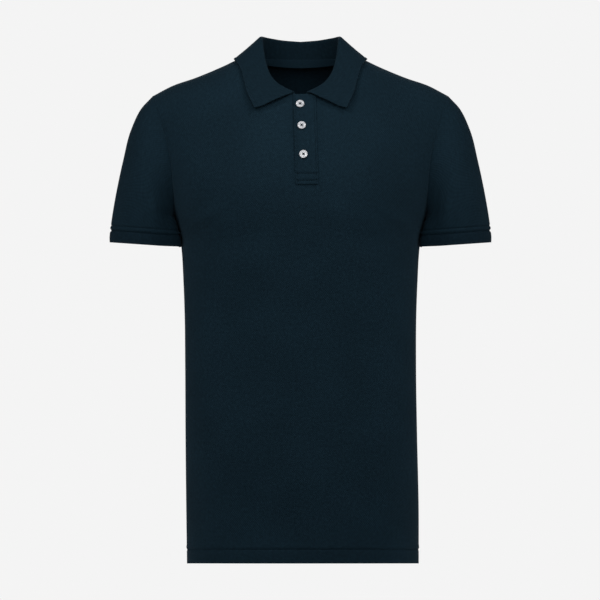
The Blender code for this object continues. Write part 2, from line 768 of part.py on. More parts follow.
def cut_button_holes(button, seat):
    """Takes the four thread holes out of a placed button."""
    bm = bmesh.new()
    for x, y in ((1, 1), (1, -1), (-1, 1), (-1, -1)):
        made = bmesh.ops.create_cone(
            bm,
            cap_ends=True,
            segments=BUTTON_HOLE_SIDES,
            radius1=BUTTON_HOLE_RADIUS,
            radius2=BUTTON_HOLE_RADIUS,
            depth=3 * BUTTON_THICKNESS,
        )
        offset = Vector((x, y, 0)) * BUTTON_HOLE_PITCH / 2
        bmesh.ops.translate(bm, vec=offset, verts=made["verts"])
    mesh = bpy.data.meshes.new(f"{button.name}_holes")
    bmesh.ops.scale(bm, vec=(MM, MM, MM), verts=bm.verts[:])
    bm.to_mesh(mesh)
    bm.free()
    cutter = bpy.data.objects.new(mesh.name, mesh)
    bpy.context.scene.collection.objects.link(cutter)
    cutter.matrix_world = seat
    cutter.hide_render = True
    cutter.display_type = "WIRE"
    holes = button.modifiers.new("thread holes", "BOOLEAN")
    holes.object = cutter
    holes.solver = "EXACT"


def button_seat(x, height):
    """Where a button's back goes: on the upper band, turned to face as the band does."""
    across, up = place_at(x, height)
    normal = body_normal(FRONT, across, up)
    seat = body_point(FRONT, across, up) + normal * (PLY_GAP + PLACKET_WALL + BUTTON_GAP)
    turn = normal.to_track_quat("Z", "Y").to_matrix().to_4x4()
    turn.translation = seat * MM
    return turn


def make_buttons(material):
    for number, (x, height) in enumerate(BUTTONS, start=1):
        button = make_object(f"button_{number}", button_mesh(), material)
        seat = button_seat(x, height)
        button.matrix_world = seat
        cut_button_holes(button, seat)


# ================================================================ the whole shirt
def cloth_material(name, colour, roughness):
    material = bpy.data.materials.new(name)
    material.use_nodes = True
    shader = material.node_tree.nodes["Principled BSDF"]
    shader.inputs["Base Color"].default_value = (*colour, 1)
    shader.inputs["Roughness"].default_value = roughness
    shader.inputs["Metallic"].default_value = 0
    return material


def slit_row():
    """The panel row nearest to the slit's lower end."""
    return min(range(len(UPS)), key=lambda row: abs(middle_height(FRONT, UPS[row]) - SLIT_BOTTOM))


SLIT_ROW = slit_row()


def main():
    for obj in list(bpy.data.objects):
        bpy.data.objects.remove(obj, do_unlink=True)
    pique = cloth_material("navy_pique", (0.008, 0.014, 0.02), 0.9)
    rib = cloth_material("navy_rib", (0.007, 0.012, 0.018), 0.9)
    tape = cloth_material("navy_twill", (0.010, 0.016, 0.024), 0.8)
    shell = cloth_material("white_button", (0.75, 0.76, 0.78), 0.25)

    make_front(pique)
    make_back(pique)
    make_sleeve("sleeve_left", LEFT, pique)
    make_sleeve("sleeve_right", RIGHT, pique)
    make_cuff("cuff_left", LEFT, rib)
    make_cuff("cuff_right", RIGHT, rib)
    make_band("placket_under", SLIT_BOTTOM + SEAM_GAP, PLACKET_LAP + 2 * SEAM_GAP, 0, pique)
    make_band("placket_upper", PLACKET_BOTTOM, 0, PLY_GAP + PLACKET_WALL, pique)
    make_collar(body_form(), rib)
    make_neck_tape(tape)
    make_buttons(shell)


main()
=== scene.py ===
# %% [markdown]
# # A polo shirt in navy pique
#
# The shirt hangs in the round shape it has when worn, with nobody in it. It is sewn from a front, a
# back, two sleeves, two knitted cuffs, a knitted collar, two placket bands and a neck tape, and closed
# with three buttons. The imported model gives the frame: +Z is up, the front faces -Y, the wearer's left
# is at +X, and the origin is midway between the shoulders.
#
# Each piece of cloth is a curved surface that its own measurements describe. It is made as a flat grid
# whose corners are put on that surface, and then it is given its wall. Lengths are in millimetres
# until a piece is finished, when MM turns them into metres.

# %% Load the frame
import math

import bmesh
import bpy
import numpy as np
from mathutils import Matrix, Vector
from mathutils.bvhtree import BVHTree


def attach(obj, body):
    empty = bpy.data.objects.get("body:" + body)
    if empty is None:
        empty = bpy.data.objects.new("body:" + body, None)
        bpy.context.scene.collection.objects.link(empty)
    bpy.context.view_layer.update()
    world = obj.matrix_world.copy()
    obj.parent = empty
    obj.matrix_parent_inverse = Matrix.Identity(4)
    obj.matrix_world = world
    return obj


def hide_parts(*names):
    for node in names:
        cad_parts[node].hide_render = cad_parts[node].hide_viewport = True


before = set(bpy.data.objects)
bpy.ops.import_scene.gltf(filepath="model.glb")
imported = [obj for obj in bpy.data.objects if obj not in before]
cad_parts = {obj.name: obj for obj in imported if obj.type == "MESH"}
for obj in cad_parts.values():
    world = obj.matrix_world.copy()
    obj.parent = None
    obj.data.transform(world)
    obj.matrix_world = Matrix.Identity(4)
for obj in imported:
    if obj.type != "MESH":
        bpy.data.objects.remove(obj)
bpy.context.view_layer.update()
MM = 0.001
print("nodes of the model:", ", ".join(sorted(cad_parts)))

# %% [markdown]
# ## Sizes in tables
#
# A garment is graded from a few girths and depths at named heights. They could be typed into every
# formula, but a small table with named columns is easier to alter. Between its rows a smooth curve
# (Hermite, with slopes taken from the neighbours) is read, so that the cloth has no corners.


# %% A table of sizes
def clamped(share):
    """The share, kept from 0 to 1."""
    return min(max(share, 0), 1)


def eased(share):
    """A share from 0 to 1 that leaves and arrives gently."""
    share = clamped(share)
    return share**2 * (3 - 2 * share)


class Table:
    """Sizes in named columns. The first column says where along the piece each row is."""

    def __init__(self, columns, *rows):
        values = np.array(rows, float).T
        self.at = [float(place) for place in values[0]]
        self.sizes = {name: [float(v) for v in sizes] for name, sizes in zip(columns[1:], values[1:])}
        self.slopes = {
            name: [float(v) for v in np.gradient(sizes, self.at)] for name, sizes in self.sizes.items()
        }

    def read(self, column, at):
        """A size at any place along the table."""
        row = 0
        while row < len(self.at) - 2 and at > self.at[row + 1]:
            row += 1
        step = self.at[row + 1] - self.at[row]
        t = clamped((at - self.at[row]) / step)
        sizes = self.sizes[column]
        slopes = self.slopes[column]
        ends = sizes[row] * (1 + 2 * t) * (1 - t) ** 2 + sizes[row + 1] * (3 - 2 * t) * t**2
        bends = slopes[row] * t * (1 - t) ** 2 - slopes[row + 1] * (1 - t) * t**2
        return ends + step * bends


# %% Sizes of the body
FRONT = -1
BACK = 1
LEFT = 1
RIGHT = -1
SIDE_NAME = {FRONT: "front", BACK: "back"}
WEARER_SIDE = {LEFT: "left", RIGHT: "right"}

HEM_HEIGHT = -722.0
HEM_TURNING = 20.0
ARMPIT_HEIGHT = -232.0
CHEST_HEIGHT = -190.0
TIP_HEIGHT = -52.0  # where the shoulder seam ends at the sleeve

BODY = Table(
    ("height", "half_width", "front", "back", "sway"),
    (-722, 166.2, 118.0, 112.0, 3.4),
    (-640, 166.7, 115.0, 109.0, 2.8),
    (-540, 166.1, 111.5, 105.0, 1.2),
    (-440, 165.6, 110.0, 103.0, 0.2),
    (-360, 166.3, 112.5, 106.0, 0.0),
    (-315, 168.0, 116.0, 111.0, 0.0),
    (-272, 170.5, 121.5, 116.0, 0.0),
    (-250, 173.2, 124.5, 118.0, 0.0),
    (-232, 179.0, 126.0, 119.5, 0.0),
    (-190, 182.5, 127.0, 121.0, 0.0),
    (-139, 187.5, 127.0, 121.0, 0.0),
    (-100, 197.0, 127.0, 121.0, 0.0),
    (-75, 205.0, 127.0, 121.0, 0.0),
    (-52, 212.0, 127.0, 121.0, 0.0),
)
SQUARENESS = 2.3  # 2 makes the body's level sections ellipses, and more makes them boxier

SHOULDER = Table(
    ("reach", "height"),
    (-36, 7.5),
    (0, 8.5),
    (36, 7.5),
    (72, 2.5),
    (92, -0.4),
    (108, -7.8),
    (151, -25.8),
    (184, -37.3),
    (212, -52.0),
)
SHOULDER_REACH = 212.0
DOME_AT_TIP = 2.0  # how round the cloth goes over the shoulder: 2 is a quarter ellipse
DOME_AT_NECK = {FRONT: 1.6, BACK: 2.7}

NECK_REACH = 72.0
NECK_SIDE_HEIGHT = 2.5
NECK_MIDDLE_HEIGHT = {FRONT: -49.5, BACK: -3.0}

ARMHOLE_MIDDLE = (ARMPIT_HEIGHT + TIP_HEIGHT) / 2
ARMHOLE_HALF_HEIGHT = (TIP_HEIGHT - ARMPIT_HEIGHT) / 2
ARMHOLE_DEPTH = {FRONT: 56.0, BACK: 60.0}

SEAM_GAP = 0.04  # sewn edges all but touch
SEAM_LEAN = 0.45  # their cut ends lean over, so that no light passes straight through a seam
half_width = BODY.read("half_width", CHEST_HEIGHT)
half_depth = (BODY.read("front", CHEST_HEIGHT) + BODY.read("back", CHEST_HEIGHT)) / 2
chest_girth = 2 * math.pi * math.sqrt((half_width**2 + half_depth**2) / 2)
print(f"about {chest_girth / 10:.0f} cm round the chest, {-HEM_HEIGHT / 10:.0f} cm from neck to hem")

# %% [markdown]
# ## The surface of the body
#
# A worn shirt is a soft tube below the arms. Above the chest each half climbs over the shoulder to a
# seam on top. One formula serves both halves: a place is given by how far **across** the panel it is,
# from -1 at one edge to 1 at the other, and how far **up**, which is 0 at the hem, 1 at the armpits
# and 2 at the shoulder seams. Level sections are superellipses, a little boxier than ellipses.


# %% One level of the body
NEAR_TOP = 0.02  # the turn short of the shoulder seam where the armhole's depth is still read


def section_share(angle):
    """How far across and how far out a level section is at an angle from the front or back."""
    power = 2 / SQUARENESS
    return abs(math.sin(angle)) ** power, abs(math.cos(angle)) ** power


class Level:
    """One row of the body, from side seam to side seam or from armhole to armhole."""

    def __init__(self, side, up):
        swing = max(up - 1, 0) * math.pi
        if up <= 1:
            self.height = HEM_HEIGHT + up * (ARMPIT_HEIGHT - HEM_HEIGHT)
        else:
            self.height = ARMHOLE_MIDDLE - ARMHOLE_HALF_HEIGHT * math.cos(swing)
        self.lift = self.lift_at(self.height)
        self.half_width = BODY.read("half_width", self.height)
        self.depth = BODY.read(SIDE_NAME[side], self.height)
        nearly_up = min(swing, math.pi - NEAR_TOP)
        lift = self.lift_at(ARMHOLE_MIDDLE - ARMHOLE_HALF_HEIGHT * math.cos(nearly_up))
        self.edge_share = ARMHOLE_DEPTH[side] * math.sin(nearly_up) / (self.depth * math.cos(lift))
        self.turn = math.acos(max(self.edge_share, 0) ** (SQUARENESS / 2))

    @staticmethod
    def lift_at(height):
        """The angle that a row has climbed over the shoulder, 0 up to the chest."""
        return math.asin(clamped((height - CHEST_HEIGHT) / (TIP_HEIGHT - CHEST_HEIGHT)))

    def reach(self, across):
        """How far from the middle a column stands on this row."""
        wide = section_share(across * self.turn)[0] / section_share(self.turn)[0]
        return math.copysign(self.half_width * wide, across)

    def across(self, reach):
        """The column that stands that far from the middle."""
        share = abs(reach) / self.half_width * section_share(self.turn)[0]
        return math.copysign(math.asin(share ** (SQUARENESS / 2)) / self.turn, reach)


TOP_LEVEL = {side: Level(side, 2) for side in (FRONT, BACK)}


# %% A point of the body
def neckline_height(side, reach):
    """The height of the neck seam, a quarter ellipse from its middle to the shoulder seam."""
    middle = NECK_MIDDLE_HEIGHT[side]
    bend = 1 - math.sqrt(max(1 - (reach / NECK_REACH) ** 2, 0))
    return middle + (NECK_SIDE_HEIGHT - middle) * bend


def body_point(side, across, up, neck_cut=True, level=None):
    """A point of the outer face of the front or the back, before its soft folds."""
    level = level or Level(side, up)
    x = level.reach(across)
    height = level.height
    out = section_share(across * level.turn)[1]
    if level.lift > 0:
        reach = abs(TOP_LEVEL[side].reach(across))
        top = SHOULDER.read("height", reach)
        outward = math.sin(math.pi / 2 * reach / SHOULDER_REACH) ** 2
        dome = DOME_AT_NECK[side] + (DOME_AT_TIP - DOME_AT_NECK[side]) * outward
        lift = level.lift
        if neck_cut and reach < NECK_REACH:
            share = (neckline_height(side, reach) - CHEST_HEIGHT) / (top - CHEST_HEIGHT)
            drawn = 1 - math.asin(min(share ** (dome / 2), 1)) / (math.pi / 2)
            lift *= 1 - drawn * max(up - 1, 0) ** 2
        height = CHEST_HEIGHT + (top - CHEST_HEIGHT) * math.sin(lift) ** (2 / dome)
        out *= max(math.cos(lift), 0) ** (2 / dome)
    y = side * (level.depth * out + SEAM_GAP / 2)
    return Vector((x + BODY.read("sway", height), y, height))


SLOPE_STEP = 0.004  # how far to each side the slope of the surface is read


def body_normal(side, across, up):
    """The way that the body's surface faces."""
    across_ends = [min(max(across + step, -1), 1) for step in (-SLOPE_STEP, SLOPE_STEP)]
    up_ends = [min(max(up + step, 0), 2) for step in (-SLOPE_STEP, SLOPE_STEP)]
    wide = body_point(side, across_ends[1], up) - body_point(side, across_ends[0], up)
    tall = body_point(side, across, up_ends[1]) - body_point(side, across, up_ends[0])
    return (-side * wide.cross(tall)).normalized()


middle_front = body_point(FRONT, 0, 1)
print(f"the chest stands {-middle_front.y:.0f} mm out in front of the side seams")

# %% [markdown]
# ## From a grid to a piece of cloth
#
# `create_grid` gives a flat net of squares, and every corner is then moved to its place on the shirt.
# The net's own lengths, summed up in metres along its rows and columns, become a UV map called
# "cloth". Knit and weave follow that map, so that they run with the piece, as on real fabric. At the
# end the net is extruded inwards to give it its wall. Solidify would do that too, but where two pieces
# meet in a seam the direction of both walls has to be the same, and here it can be stated.


# %% A sheet, its map and its wall
def grid_sheet(columns, rows, place):
    """A sheet of columns by rows, each corner (column, row) put where place says."""
    bm = bmesh.new()
    bmesh.ops.create_grid(bm, x_segments=columns, y_segments=rows, size=1)
    column_layer = bm.verts.layers.int.new("column")
    row_layer = bm.verts.layers.int.new("row")
    for vert in bm.verts:
        vert[column_layer] = round((vert.co.x + 1) / 2 * columns)
        vert[row_layer] = round((vert.co.y + 1) / 2 * rows)
        vert.co = place(vert[column_layer], vert[row_layer])
    map_cloth(bm, columns, rows)
    return bm


def net_layers(bm):
    """The layers that say which column and row of the net a corner is."""
    return bm.verts.layers.int["column"], bm.verts.layers.int["row"]


def summed_lengths(net, axis):
    """The length of the net from its first edge to each corner, along an axis."""
    steps = np.linalg.norm(np.diff(net, axis=axis), axis=2)
    return np.insert(np.cumsum(steps, axis=axis), 0, 0.0, axis=axis)


def map_cloth(bm, columns, rows):
    """Adds the UV map: metres along the rows from the middle column, and up the columns."""
    column_layer, row_layer = net_layers(bm)
    net = np.zeros((columns + 1, rows + 1, 3))
    for vert in bm.verts:
        net[vert[column_layer], vert[row_layer]] = vert.co
    along = summed_lengths(net, axis=0)
    along -= along[columns // 2].copy()
    upward = summed_lengths(net, axis=1)
    cloth_map = bm.loops.layers.uv.new("cloth")
    for face in bm.faces:
        for loop in face.loops:
            corner = loop.vert[column_layer], loop.vert[row_layer]
            loop[cloth_map].uv = (along[corner] * MM, upward[corner] * MM)


def close_tube(bm):
    """Joins a sheet's first and last columns, which lie on each other, and faces the tube outwards."""
    bmesh.ops.remove_doubles(bm, verts=bm.verts[:], dist=0.001)
    middle = sum((v.co for v in bm.verts), Vector()) / len(bm.verts)
    bm.normal_update()
    facing_out = sum(f.normal.dot(f.calc_center_median() - middle) * f.calc_area() for f in bm.faces)
    if facing_out < 0:
        bmesh.ops.reverse_faces(bm, faces=bm.faces[:])


def thicken(bm, wall, facing=None):
    """Gives a sheet its wall, inwards from its outer face.

    wall is a thickness or gives one for each (column, row), and facing may give a corner's outward
    direction where it meets a neighbour, so that both walls end on one line.
    """
    column_layer, row_layer = net_layers(bm)
    inward_layer = bm.verts.layers.float_vector.new("inward")
    bm.normal_update()
    for vert in bm.verts:
        place = vert[column_layer], vert[row_layer]
        outward = (facing and facing(*place, vert)) or vert.normal
        vert[inward_layer] = -outward * (wall(*place) if callable(wall) else wall)
    made = bmesh.ops.extrude_face_region(bm, geom=bm.faces[:])
    for item in made["geom"]:
        if isinstance(item, bmesh.types.BMVert):
            item.co += item[inward_layer]
    bmesh.ops.recalc_face_normals(bm, faces=bm.faces[:])


# %% [markdown]
# A cut edge of thick knit is never sharp: it rounds over, and where two pieces are sewn together the
# two round edges make the fine valley that shows as a seam. A Bevel modifier that acts on edges only
# above a stated angle rounds the edges of every wall and leaves the smooth faces alone.

# %% Finish a piece
EDGE_ROUNDING = 0.45
SHARP_FROM = math.radians(50)


def finish_piece(name, bm, material, node, rounding=EDGE_ROUNDING):
    """An object in metres that stands for its node of the model and rides on the one body."""
    bmesh.ops.scale(bm, vec=(MM, MM, MM), verts=bm.verts[:])
    mesh = bpy.data.meshes.new(name)
    bm.to_mesh(mesh)
    bm.free()
    mesh.materials.append(material)
    mesh.shade_smooth()
    piece = bpy.data.objects.new(name, mesh)
    bpy.context.scene.collection.objects.link(piece)
    if rounding:
        bevel = piece.modifiers.new("rounded edges", "BEVEL")
        bevel.limit_method = "ANGLE"
        bevel.angle_limit = SHARP_FROM
        bevel.width = rounding * MM
        bevel.segments = 2
    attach(piece, "root")
    if node:
        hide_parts(node)
    print(f"{name}: {len(mesh.polygons)} faces")
    return piece


# %% [markdown]
# ## Soft folds
#
# A worn polo has few creases. The cloth rounds over the chest, falls in under it, and swings softly at
# the waist and hem, and short pulls run from each armpit. They could come from a cloth simulation, but
# the shirt is held by a wearer who isn't there, and a table keeps each one where it belongs. A row is
# a long soft ridge, or a trough where `out` is negative. The pair on the two sides of the body are
# never quite alike.

# %% A table of folds
FOLD_COLUMNS = ("x", "z", "long", "wide", "lean", "out")  # lean is in degrees from upright

FRONT_FOLDS = (
    (-86, -182, 62, 44, 72, 4.4),  # the chest
    (84, -180, 60, 46, -74, 4.2),
    (-94, -260, 64, 23, 76, -4.6),  # where it falls in under the chest
    (96, -258, 62, 24, -78, -4.4),
    (0, -320, 130, 28, 2, 1.6),
    (-70, -380, 120, 20, 6, -0.9),
    (78, -400, 130, 22, -5, -0.8),
    (-14, -585, 74, 60, 88, 2.2),  # the swing outwards over the hips
    (-16, -664, 78, 34, 86, -3.4),
    (-126, -620, 84, 17, 6, 1.4),
    (122, -630, 80, 18, -7, 1.5),
    (-150, -252, 44, 7, 52, -1.7),  # pulls from the armpits
    (-138, -226, 40, 7, 62, 1.1),
    (150, -256, 42, 7, -48, -1.6),
    (140, -228, 42, 8, -60, 1.0),
    (-128, -118, 44, 12, 24, -1.0),  # the hollow inside each shoulder
    (130, -116, 42, 12, -26, -1.0),
)

BACK_FOLDS = (
    (-84, -150, 66, 44, 12, 3.2),  # the shoulder blades
    (86, -152, 64, 44, -12, 3.0),
    (2, -190, 100, 22, 0, -2.2),
    (-64, -330, 110, 20, 8, -1.4),
    (70, -345, 104, 22, -7, -1.5),
    (4, -430, 70, 62, 90, -3.4),  # the hollow of the back
    (-34, -560, 96, 22, -5, 1.7),
    (48, -590, 92, 24, 6, 1.6),
    (8, -640, 84, 19, 3, -1.6),
    (-118, -600, 90, 18, 7, -1.3),
    (120, -615, 86, 18, -6, 1.3),
    (-148, -250, 46, 8, 50, -1.9),
    (-136, -222, 40, 7, 60, 1.2),
    (148, -254, 44, 8, -52, -1.8),
    (134, -224, 42, 8, -58, 1.2),
)
FOLDS = {FRONT: FRONT_FOLDS, BACK: BACK_FOLDS}


def fold_height(folds, x, z):
    """How far the folds of a table stand out at a place seen from the front."""
    height = 0.0
    for row in folds:
        fold = dict(zip(FOLD_COLUMNS, row))
        lean = math.radians(fold["lean"])
        right, up = x - fold["x"], z - fold["z"]
        along = (up * math.cos(lean) + right * math.sin(lean)) / fold["long"]
        beside = (right * math.cos(lean) - up * math.sin(lean)) / fold["wide"]
        if abs(along) < 3 and abs(beside) < 3:
            height += fold["out"] * math.exp(-(along**2) - beside**2)
    return height


# %% Where the body keeps still
SEAM_CALM = 26.0  # the folds die away over this distance from a panel's seams
PLACKET_CALM = (-30.0, 45.0, -190.0)  # left and right of the placket, and its foot


def fold_share(side, x, z, edge):
    """1 where the cloth is free and 0 where a seam or the placket holds it."""
    free = eased((edge - abs(x)) / SEAM_CALM)
    if side == FRONT:
        left, right, foot = PLACKET_CALM
        beside = max(left - x, x - right, foot - z, 0)
        free *= eased(beside / SEAM_CALM)
    return free


deepest = min(fold_height(BACK_FOLDS, 0, z) for z in range(-700, -100, 10))
print(f"the deepest hollow down the middle of the back is {-deepest:.1f} mm")

# %% [markdown]
# ## Pique, as a finish
#
# Pique is a knit of small raised cells in a staggered grid, like the cells of a honeycomb. Real cells
# are a little over a millimetre wide. They could be modelled, but there are half a million of them, so
# the map called "cloth" drives two crossing waves instead, and their product is the height of a Bump
# node. The yarn is dyed unevenly, so a fine noise mixes two navies that are close to each other, and a
# broad one fades the cloth very slightly. The hollows between the cells are darkened with painted
# shade. Cotton has a soft bloom at grazing angles, which the Sheen socket gives.

# %% Helpers for finishes
SHEEN_BLUE = (0.42, 0.66, 0.85, 1)  # the bloom of dyed cotton at grazing angles


def new_finish(name, roughness, sheen):
    """A material and its shader, as dull as cloth."""
    material = bpy.data.materials.new(name)
    material.use_nodes = True
    shader = material.node_tree.nodes["Principled BSDF"]
    shader.inputs["Roughness"].default_value = roughness
    shader.inputs["Sheen Weight"].default_value = sheen
    shader.inputs["Sheen Roughness"].default_value = 0.45
    shader.inputs["Sheen Tint"].default_value = SHEEN_BLUE
    shader.inputs["Specular IOR Level"].default_value = 0.06
    return material, shader


def cloth_place(material):
    """A piece's "cloth" map, and its two parts: metres across and up the cloth."""
    nodes = material.node_tree.nodes
    cloth = nodes.new("ShaderNodeUVMap")
    cloth.uv_map = "cloth"
    parts = nodes.new("ShaderNodeSeparateXYZ")
    join(material, parts.inputs[0], cloth.outputs["UV"])
    return cloth.outputs["UV"], parts.outputs[0], parts.outputs[1]


def object_place(material):
    """Metres in the shirt's frame, for a finish that doesn't follow a cloth."""
    return material.node_tree.nodes.new("ShaderNodeTexCoord").outputs["Object"]


def join(material, socket, value):
    """Links a socket to another one, or sets it to a number or colour."""
    if isinstance(value, bpy.types.NodeSocket):
        material.node_tree.links.new(value, socket)
    else:
        socket.default_value = value


def calculate(material, operation, first, second=0.0):
    """A Math node on two sockets or numbers."""
    node = material.node_tree.nodes.new("ShaderNodeMath")
    node.operation = operation
    join(material, node.inputs[0], first)
    join(material, node.inputs[1], second)
    return node.outputs[0]


def times(material, first, second):
    return calculate(material, "MULTIPLY", first, second)


def plus(material, first, second):
    return calculate(material, "ADD", first, second)


def wave(material, place, pitch):
    """A sine from -1 to 1 that repeats at the pitch, in millimetres."""
    return calculate(material, "SINE", times(material, place, 2 * math.pi / (pitch * MM)))


def as_height(material, value):
    """A value from -1 to 1, brought to 0 to 1."""
    return times(material, plus(material, value, 1.0), 0.5)


def noise(material, vector, size, detail=2.0, distortion=0.0):
    """A soft random value from 0 to 1 with patches of about that size, in millimetres."""
    node = material.node_tree.nodes.new("ShaderNodeTexNoise")
    join(material, node.inputs["Vector"], vector)
    node.inputs["Scale"].default_value = 1 / (size * MM)
    node.inputs["Detail"].default_value = detail
    node.inputs["Distortion"].default_value = distortion
    return node.outputs["Fac"]


def grey(value):
    return (value, value, value)


def ramp(material, value, *stops):
    """A colour for each value. A stop is (value, colour)."""
    node = material.node_tree.nodes.new("ShaderNodeValToRGB")
    join(material, node.inputs[0], value)
    elements = node.color_ramp.elements
    while len(elements) < len(stops):
        elements.new(0.5)
    for element, (position, colour) in zip(elements, stops):
        element.position = position
        element.color = (*colour, 1)
    return node.outputs[0]


def tinted(material, colour, tint):
    """A colour multiplied by another one."""
    node = material.node_tree.nodes.new("ShaderNodeMix")
    node.data_type = "RGBA"
    node.blend_type = "MULTIPLY"
    node.inputs[0].default_value = 1.0  # the factor. The two colours are inputs 6 and 7
    join(material, node.inputs[6], colour)
    join(material, node.inputs[7], tint)
    return node.outputs[2]


def raise_surface(material, shader, height, depth, strength=1.0):
    """A bump of that depth, in millimetres, where height runs from 0 to 1."""
    node = material.node_tree.nodes.new("ShaderNodeBump")
    node.inputs["Distance"].default_value = depth * MM
    node.inputs["Strength"].default_value = strength
    join(material, node.inputs["Height"], height)
    join(material, shader.inputs["Normal"], node.outputs[0])


# %% Navy pique
NAVY_DEEP = (0.0054, 0.0158, 0.0246)
NAVY = (0.0070, 0.0200, 0.0311)
NAVY_LIGHT = (0.0089, 0.0248, 0.0378)
CELL_WIDTH = 1.5
CELL_HEIGHT = 1.9
YARN_RELIEF = 0.45  # how much the yarn adds to the height of the cells
YARN_IN_HEATHER = 0.25  # its share in the mixing of the navies, beside the broader mottle
# painted shade: how dark the colour is made in the hollows between the cells
HOLLOW_SHADE = 0.72
FADE = (0.92, 1.06)  # the deepest and the lightest patches of the broad fade


def navies(material, value):
    """The three navies, the deepest where the value is low."""
    return ramp(material, value, (0.30, NAVY_DEEP), (0.52, NAVY), (0.74, NAVY_LIGHT))


def make_pique():
    material, shader = new_finish("navy pique knit", roughness=0.92, sheen=0.03)
    cloth, across, up = cloth_place(material)
    crossed = times(
        material, wave(material, across, 2 * CELL_WIDTH), wave(material, up, 2 * CELL_HEIGHT)
    )
    cells = as_height(material, crossed)
    yarn = noise(material, cloth, 0.9, detail=3.0)
    mottle = noise(material, cloth, 4.5, detail=4.0)
    fade = noise(material, cloth, 90.0, detail=1.0)
    heather = plus(
        material,
        times(material, mottle, 1 - YARN_IN_HEATHER),
        times(material, yarn, YARN_IN_HEATHER),
    )
    # Painted shade: the colour is darkened in the hollows between the cells, where their shade would
    # fall.
    painted_hollow_shade = ramp(material, cells, (0.0, grey(HOLLOW_SHADE)), (0.55, grey(1.0)))
    faded = ramp(material, fade, (0.35, grey(FADE[0])), (0.65, grey(FADE[1])))
    colour = tinted(material, navies(material, heather), painted_hollow_shade)
    join(material, shader.inputs["Base Color"], tinted(material, colour, faded))
    surface = plus(material, times(material, yarn, YARN_RELIEF), cells)
    raise_surface(material, shader, surface, depth=0.22, strength=0.8)
    return material


pique = make_pique()
print(f"pique cells {CELL_WIDTH} by {CELL_HEIGHT} mm")

# %% [markdown]
# ## The front and the back
#
# Both halves are cut as one flat piece with a slightly hollowed armhole and a neckline, deeper on the
# front, which is also slit down the middle for the placket. Here the rows of the net run from side to
# side, and its columns run from the hem up to the shoulder seam and the neckline. Above the armpits
# the columns draw together, so that the same ones meet the collar. The hem is turned up inside by
# 20 mm, so the wall is thicker there, and its stitching pulls the cloth in along a fine line.

# %% Rows and columns of the panels
PIQUE = 1.5
HEM_WALL = 2.7
SHOULDER_COLUMNS = 30
NECK_COLUMNS = 22
SLIT_COLUMNS = 10
ARMHOLE_ROWS = 52
HEM_LINE = HEM_HEIGHT + HEM_TURNING
HEM_STEPS = (-20, -19, -16, -11, -6, -3, -1.8, -0.9, 0, 0.9, 1.8, 3, 5, 8)  # from the stitching
LOWER_ROWS = 56

PLACKET_TOP = NECK_MIDDLE_HEIGHT[FRONT] - 0.1
PLACKET_BOTTOM = -178.0
PLACKET_EDGE_AT_TOP = -10.2  # its free edge, on the wearer's right
PLACKET_EDGE_AT_BOTTOM = -6.6
PLACKET_WIDTH = 32.0
PLACKET_LAP = 2.5  # how far the upper band laps over the slit's edges
SLIT_BOTTOM = -164.0


def up_of(height):
    return (height - HEM_HEIGHT) / (ARMPIT_HEIGHT - HEM_HEIGHT)


LOWER_HEIGHTS = [HEM_LINE + step for step in HEM_STEPS]
LOWER_HEIGHTS += list(np.linspace(LOWER_HEIGHTS[-1], ARMPIT_HEIGHT, LOWER_ROWS + 1)[1:-1])
UPS = [up_of(height) for height in LOWER_HEIGHTS]
UPS += [1 + row / ARMHOLE_ROWS for row in range(ARMHOLE_ROWS + 1)]
ARMPIT_ROW = len(LOWER_HEIGHTS)


def neck_place(around):
    """The side and column of the neck seam. around is 0 at the middle back and 1 or -1 at the front."""
    side = FRONT if abs(around) > 0.5 else BACK
    reach = NECK_REACH * math.sin(math.pi * abs(around))
    return side, math.copysign(TOP_LEVEL[side].across(reach), around)


def placket_edge(height):
    """The x of the placket's free edge, which leans a little."""
    down = clamped((PLACKET_TOP - height) / (PLACKET_TOP - PLACKET_BOTTOM))
    return PLACKET_EDGE_AT_TOP + down * (PLACKET_EDGE_AT_BOTTOM - PLACKET_EDGE_AT_TOP)


BESIDE_MIDDLE = 0.02  # a column close to the middle of a panel


def middle_height(side, up):
    return body_point(side, BESIDE_MIDDLE, up).z


def placket_across(up, share, lap=0.0):
    """The front's column at a share of the placket's width, drawn in by lap at each edge."""
    start = placket_edge(middle_height(FRONT, up)) + lap
    return Level(FRONT, up).across(start + share * (PLACKET_WIDTH - 2 * lap))


def last_short(low, high, is_short, within):
    """The place between low and high up to which is_short holds, found by halving."""
    while high - low > within:
        middle = (low + high) / 2
        if is_short(middle):
            low = middle
        else:
            high = middle
    return low


def place_at(x, height):
    """The column and row of the front that meet at a place."""

    def is_short(up):
        return body_point(FRONT, Level(FRONT, up).across(x), up).z < height

    up = last_short(1.0, 2.0, is_short, within=1e-5)
    return Level(FRONT, up).across(x), up


def straight_across(height, share, lap):
    """The column and row at a share of the placket's width, on a straight line across it."""
    return place_at(placket_edge(height) + lap + share * (PLACKET_WIDTH - 2 * lap), height)


def off_front(place, out):
    """A point that stands out from the front's own surface, and the way that it faces there."""
    normal = body_normal(FRONT, *place)
    return body_point(FRONT, *place) + normal * out, normal


def front_neck_stations(wearer_side):
    """Places round the neck seam from the shoulder seam to the slit's edge."""
    slit = PLACKET_LAP if wearer_side == RIGHT else PLACKET_WIDTH - PLACKET_LAP
    reach = abs(placket_edge(PLACKET_TOP) + slit)
    end = 1 - math.asin(reach / NECK_REACH) / math.pi
    return wearer_side * np.linspace(0.5, end, NECK_COLUMNS + 1)


def back_neck_stations(wearer_side):
    return wearer_side * np.linspace(0.5, 0, NECK_COLUMNS + 1)


def half_columns(wearer_side, up, inner, stations):
    """A row's columns from its side edge in to the column called inner."""
    even = np.linspace(wearer_side, inner, SHOULDER_COLUMNS + NECK_COLUMNS + 1)
    neck = [neck_place(station)[1] for station in stations]
    shoulder = np.linspace(wearer_side, neck[0], SHOULDER_COLUMNS + 1)
    drawn = np.concatenate([shoulder, neck[1:-1], [inner]])
    return even + (drawn - even) * max(up - 1, 0)


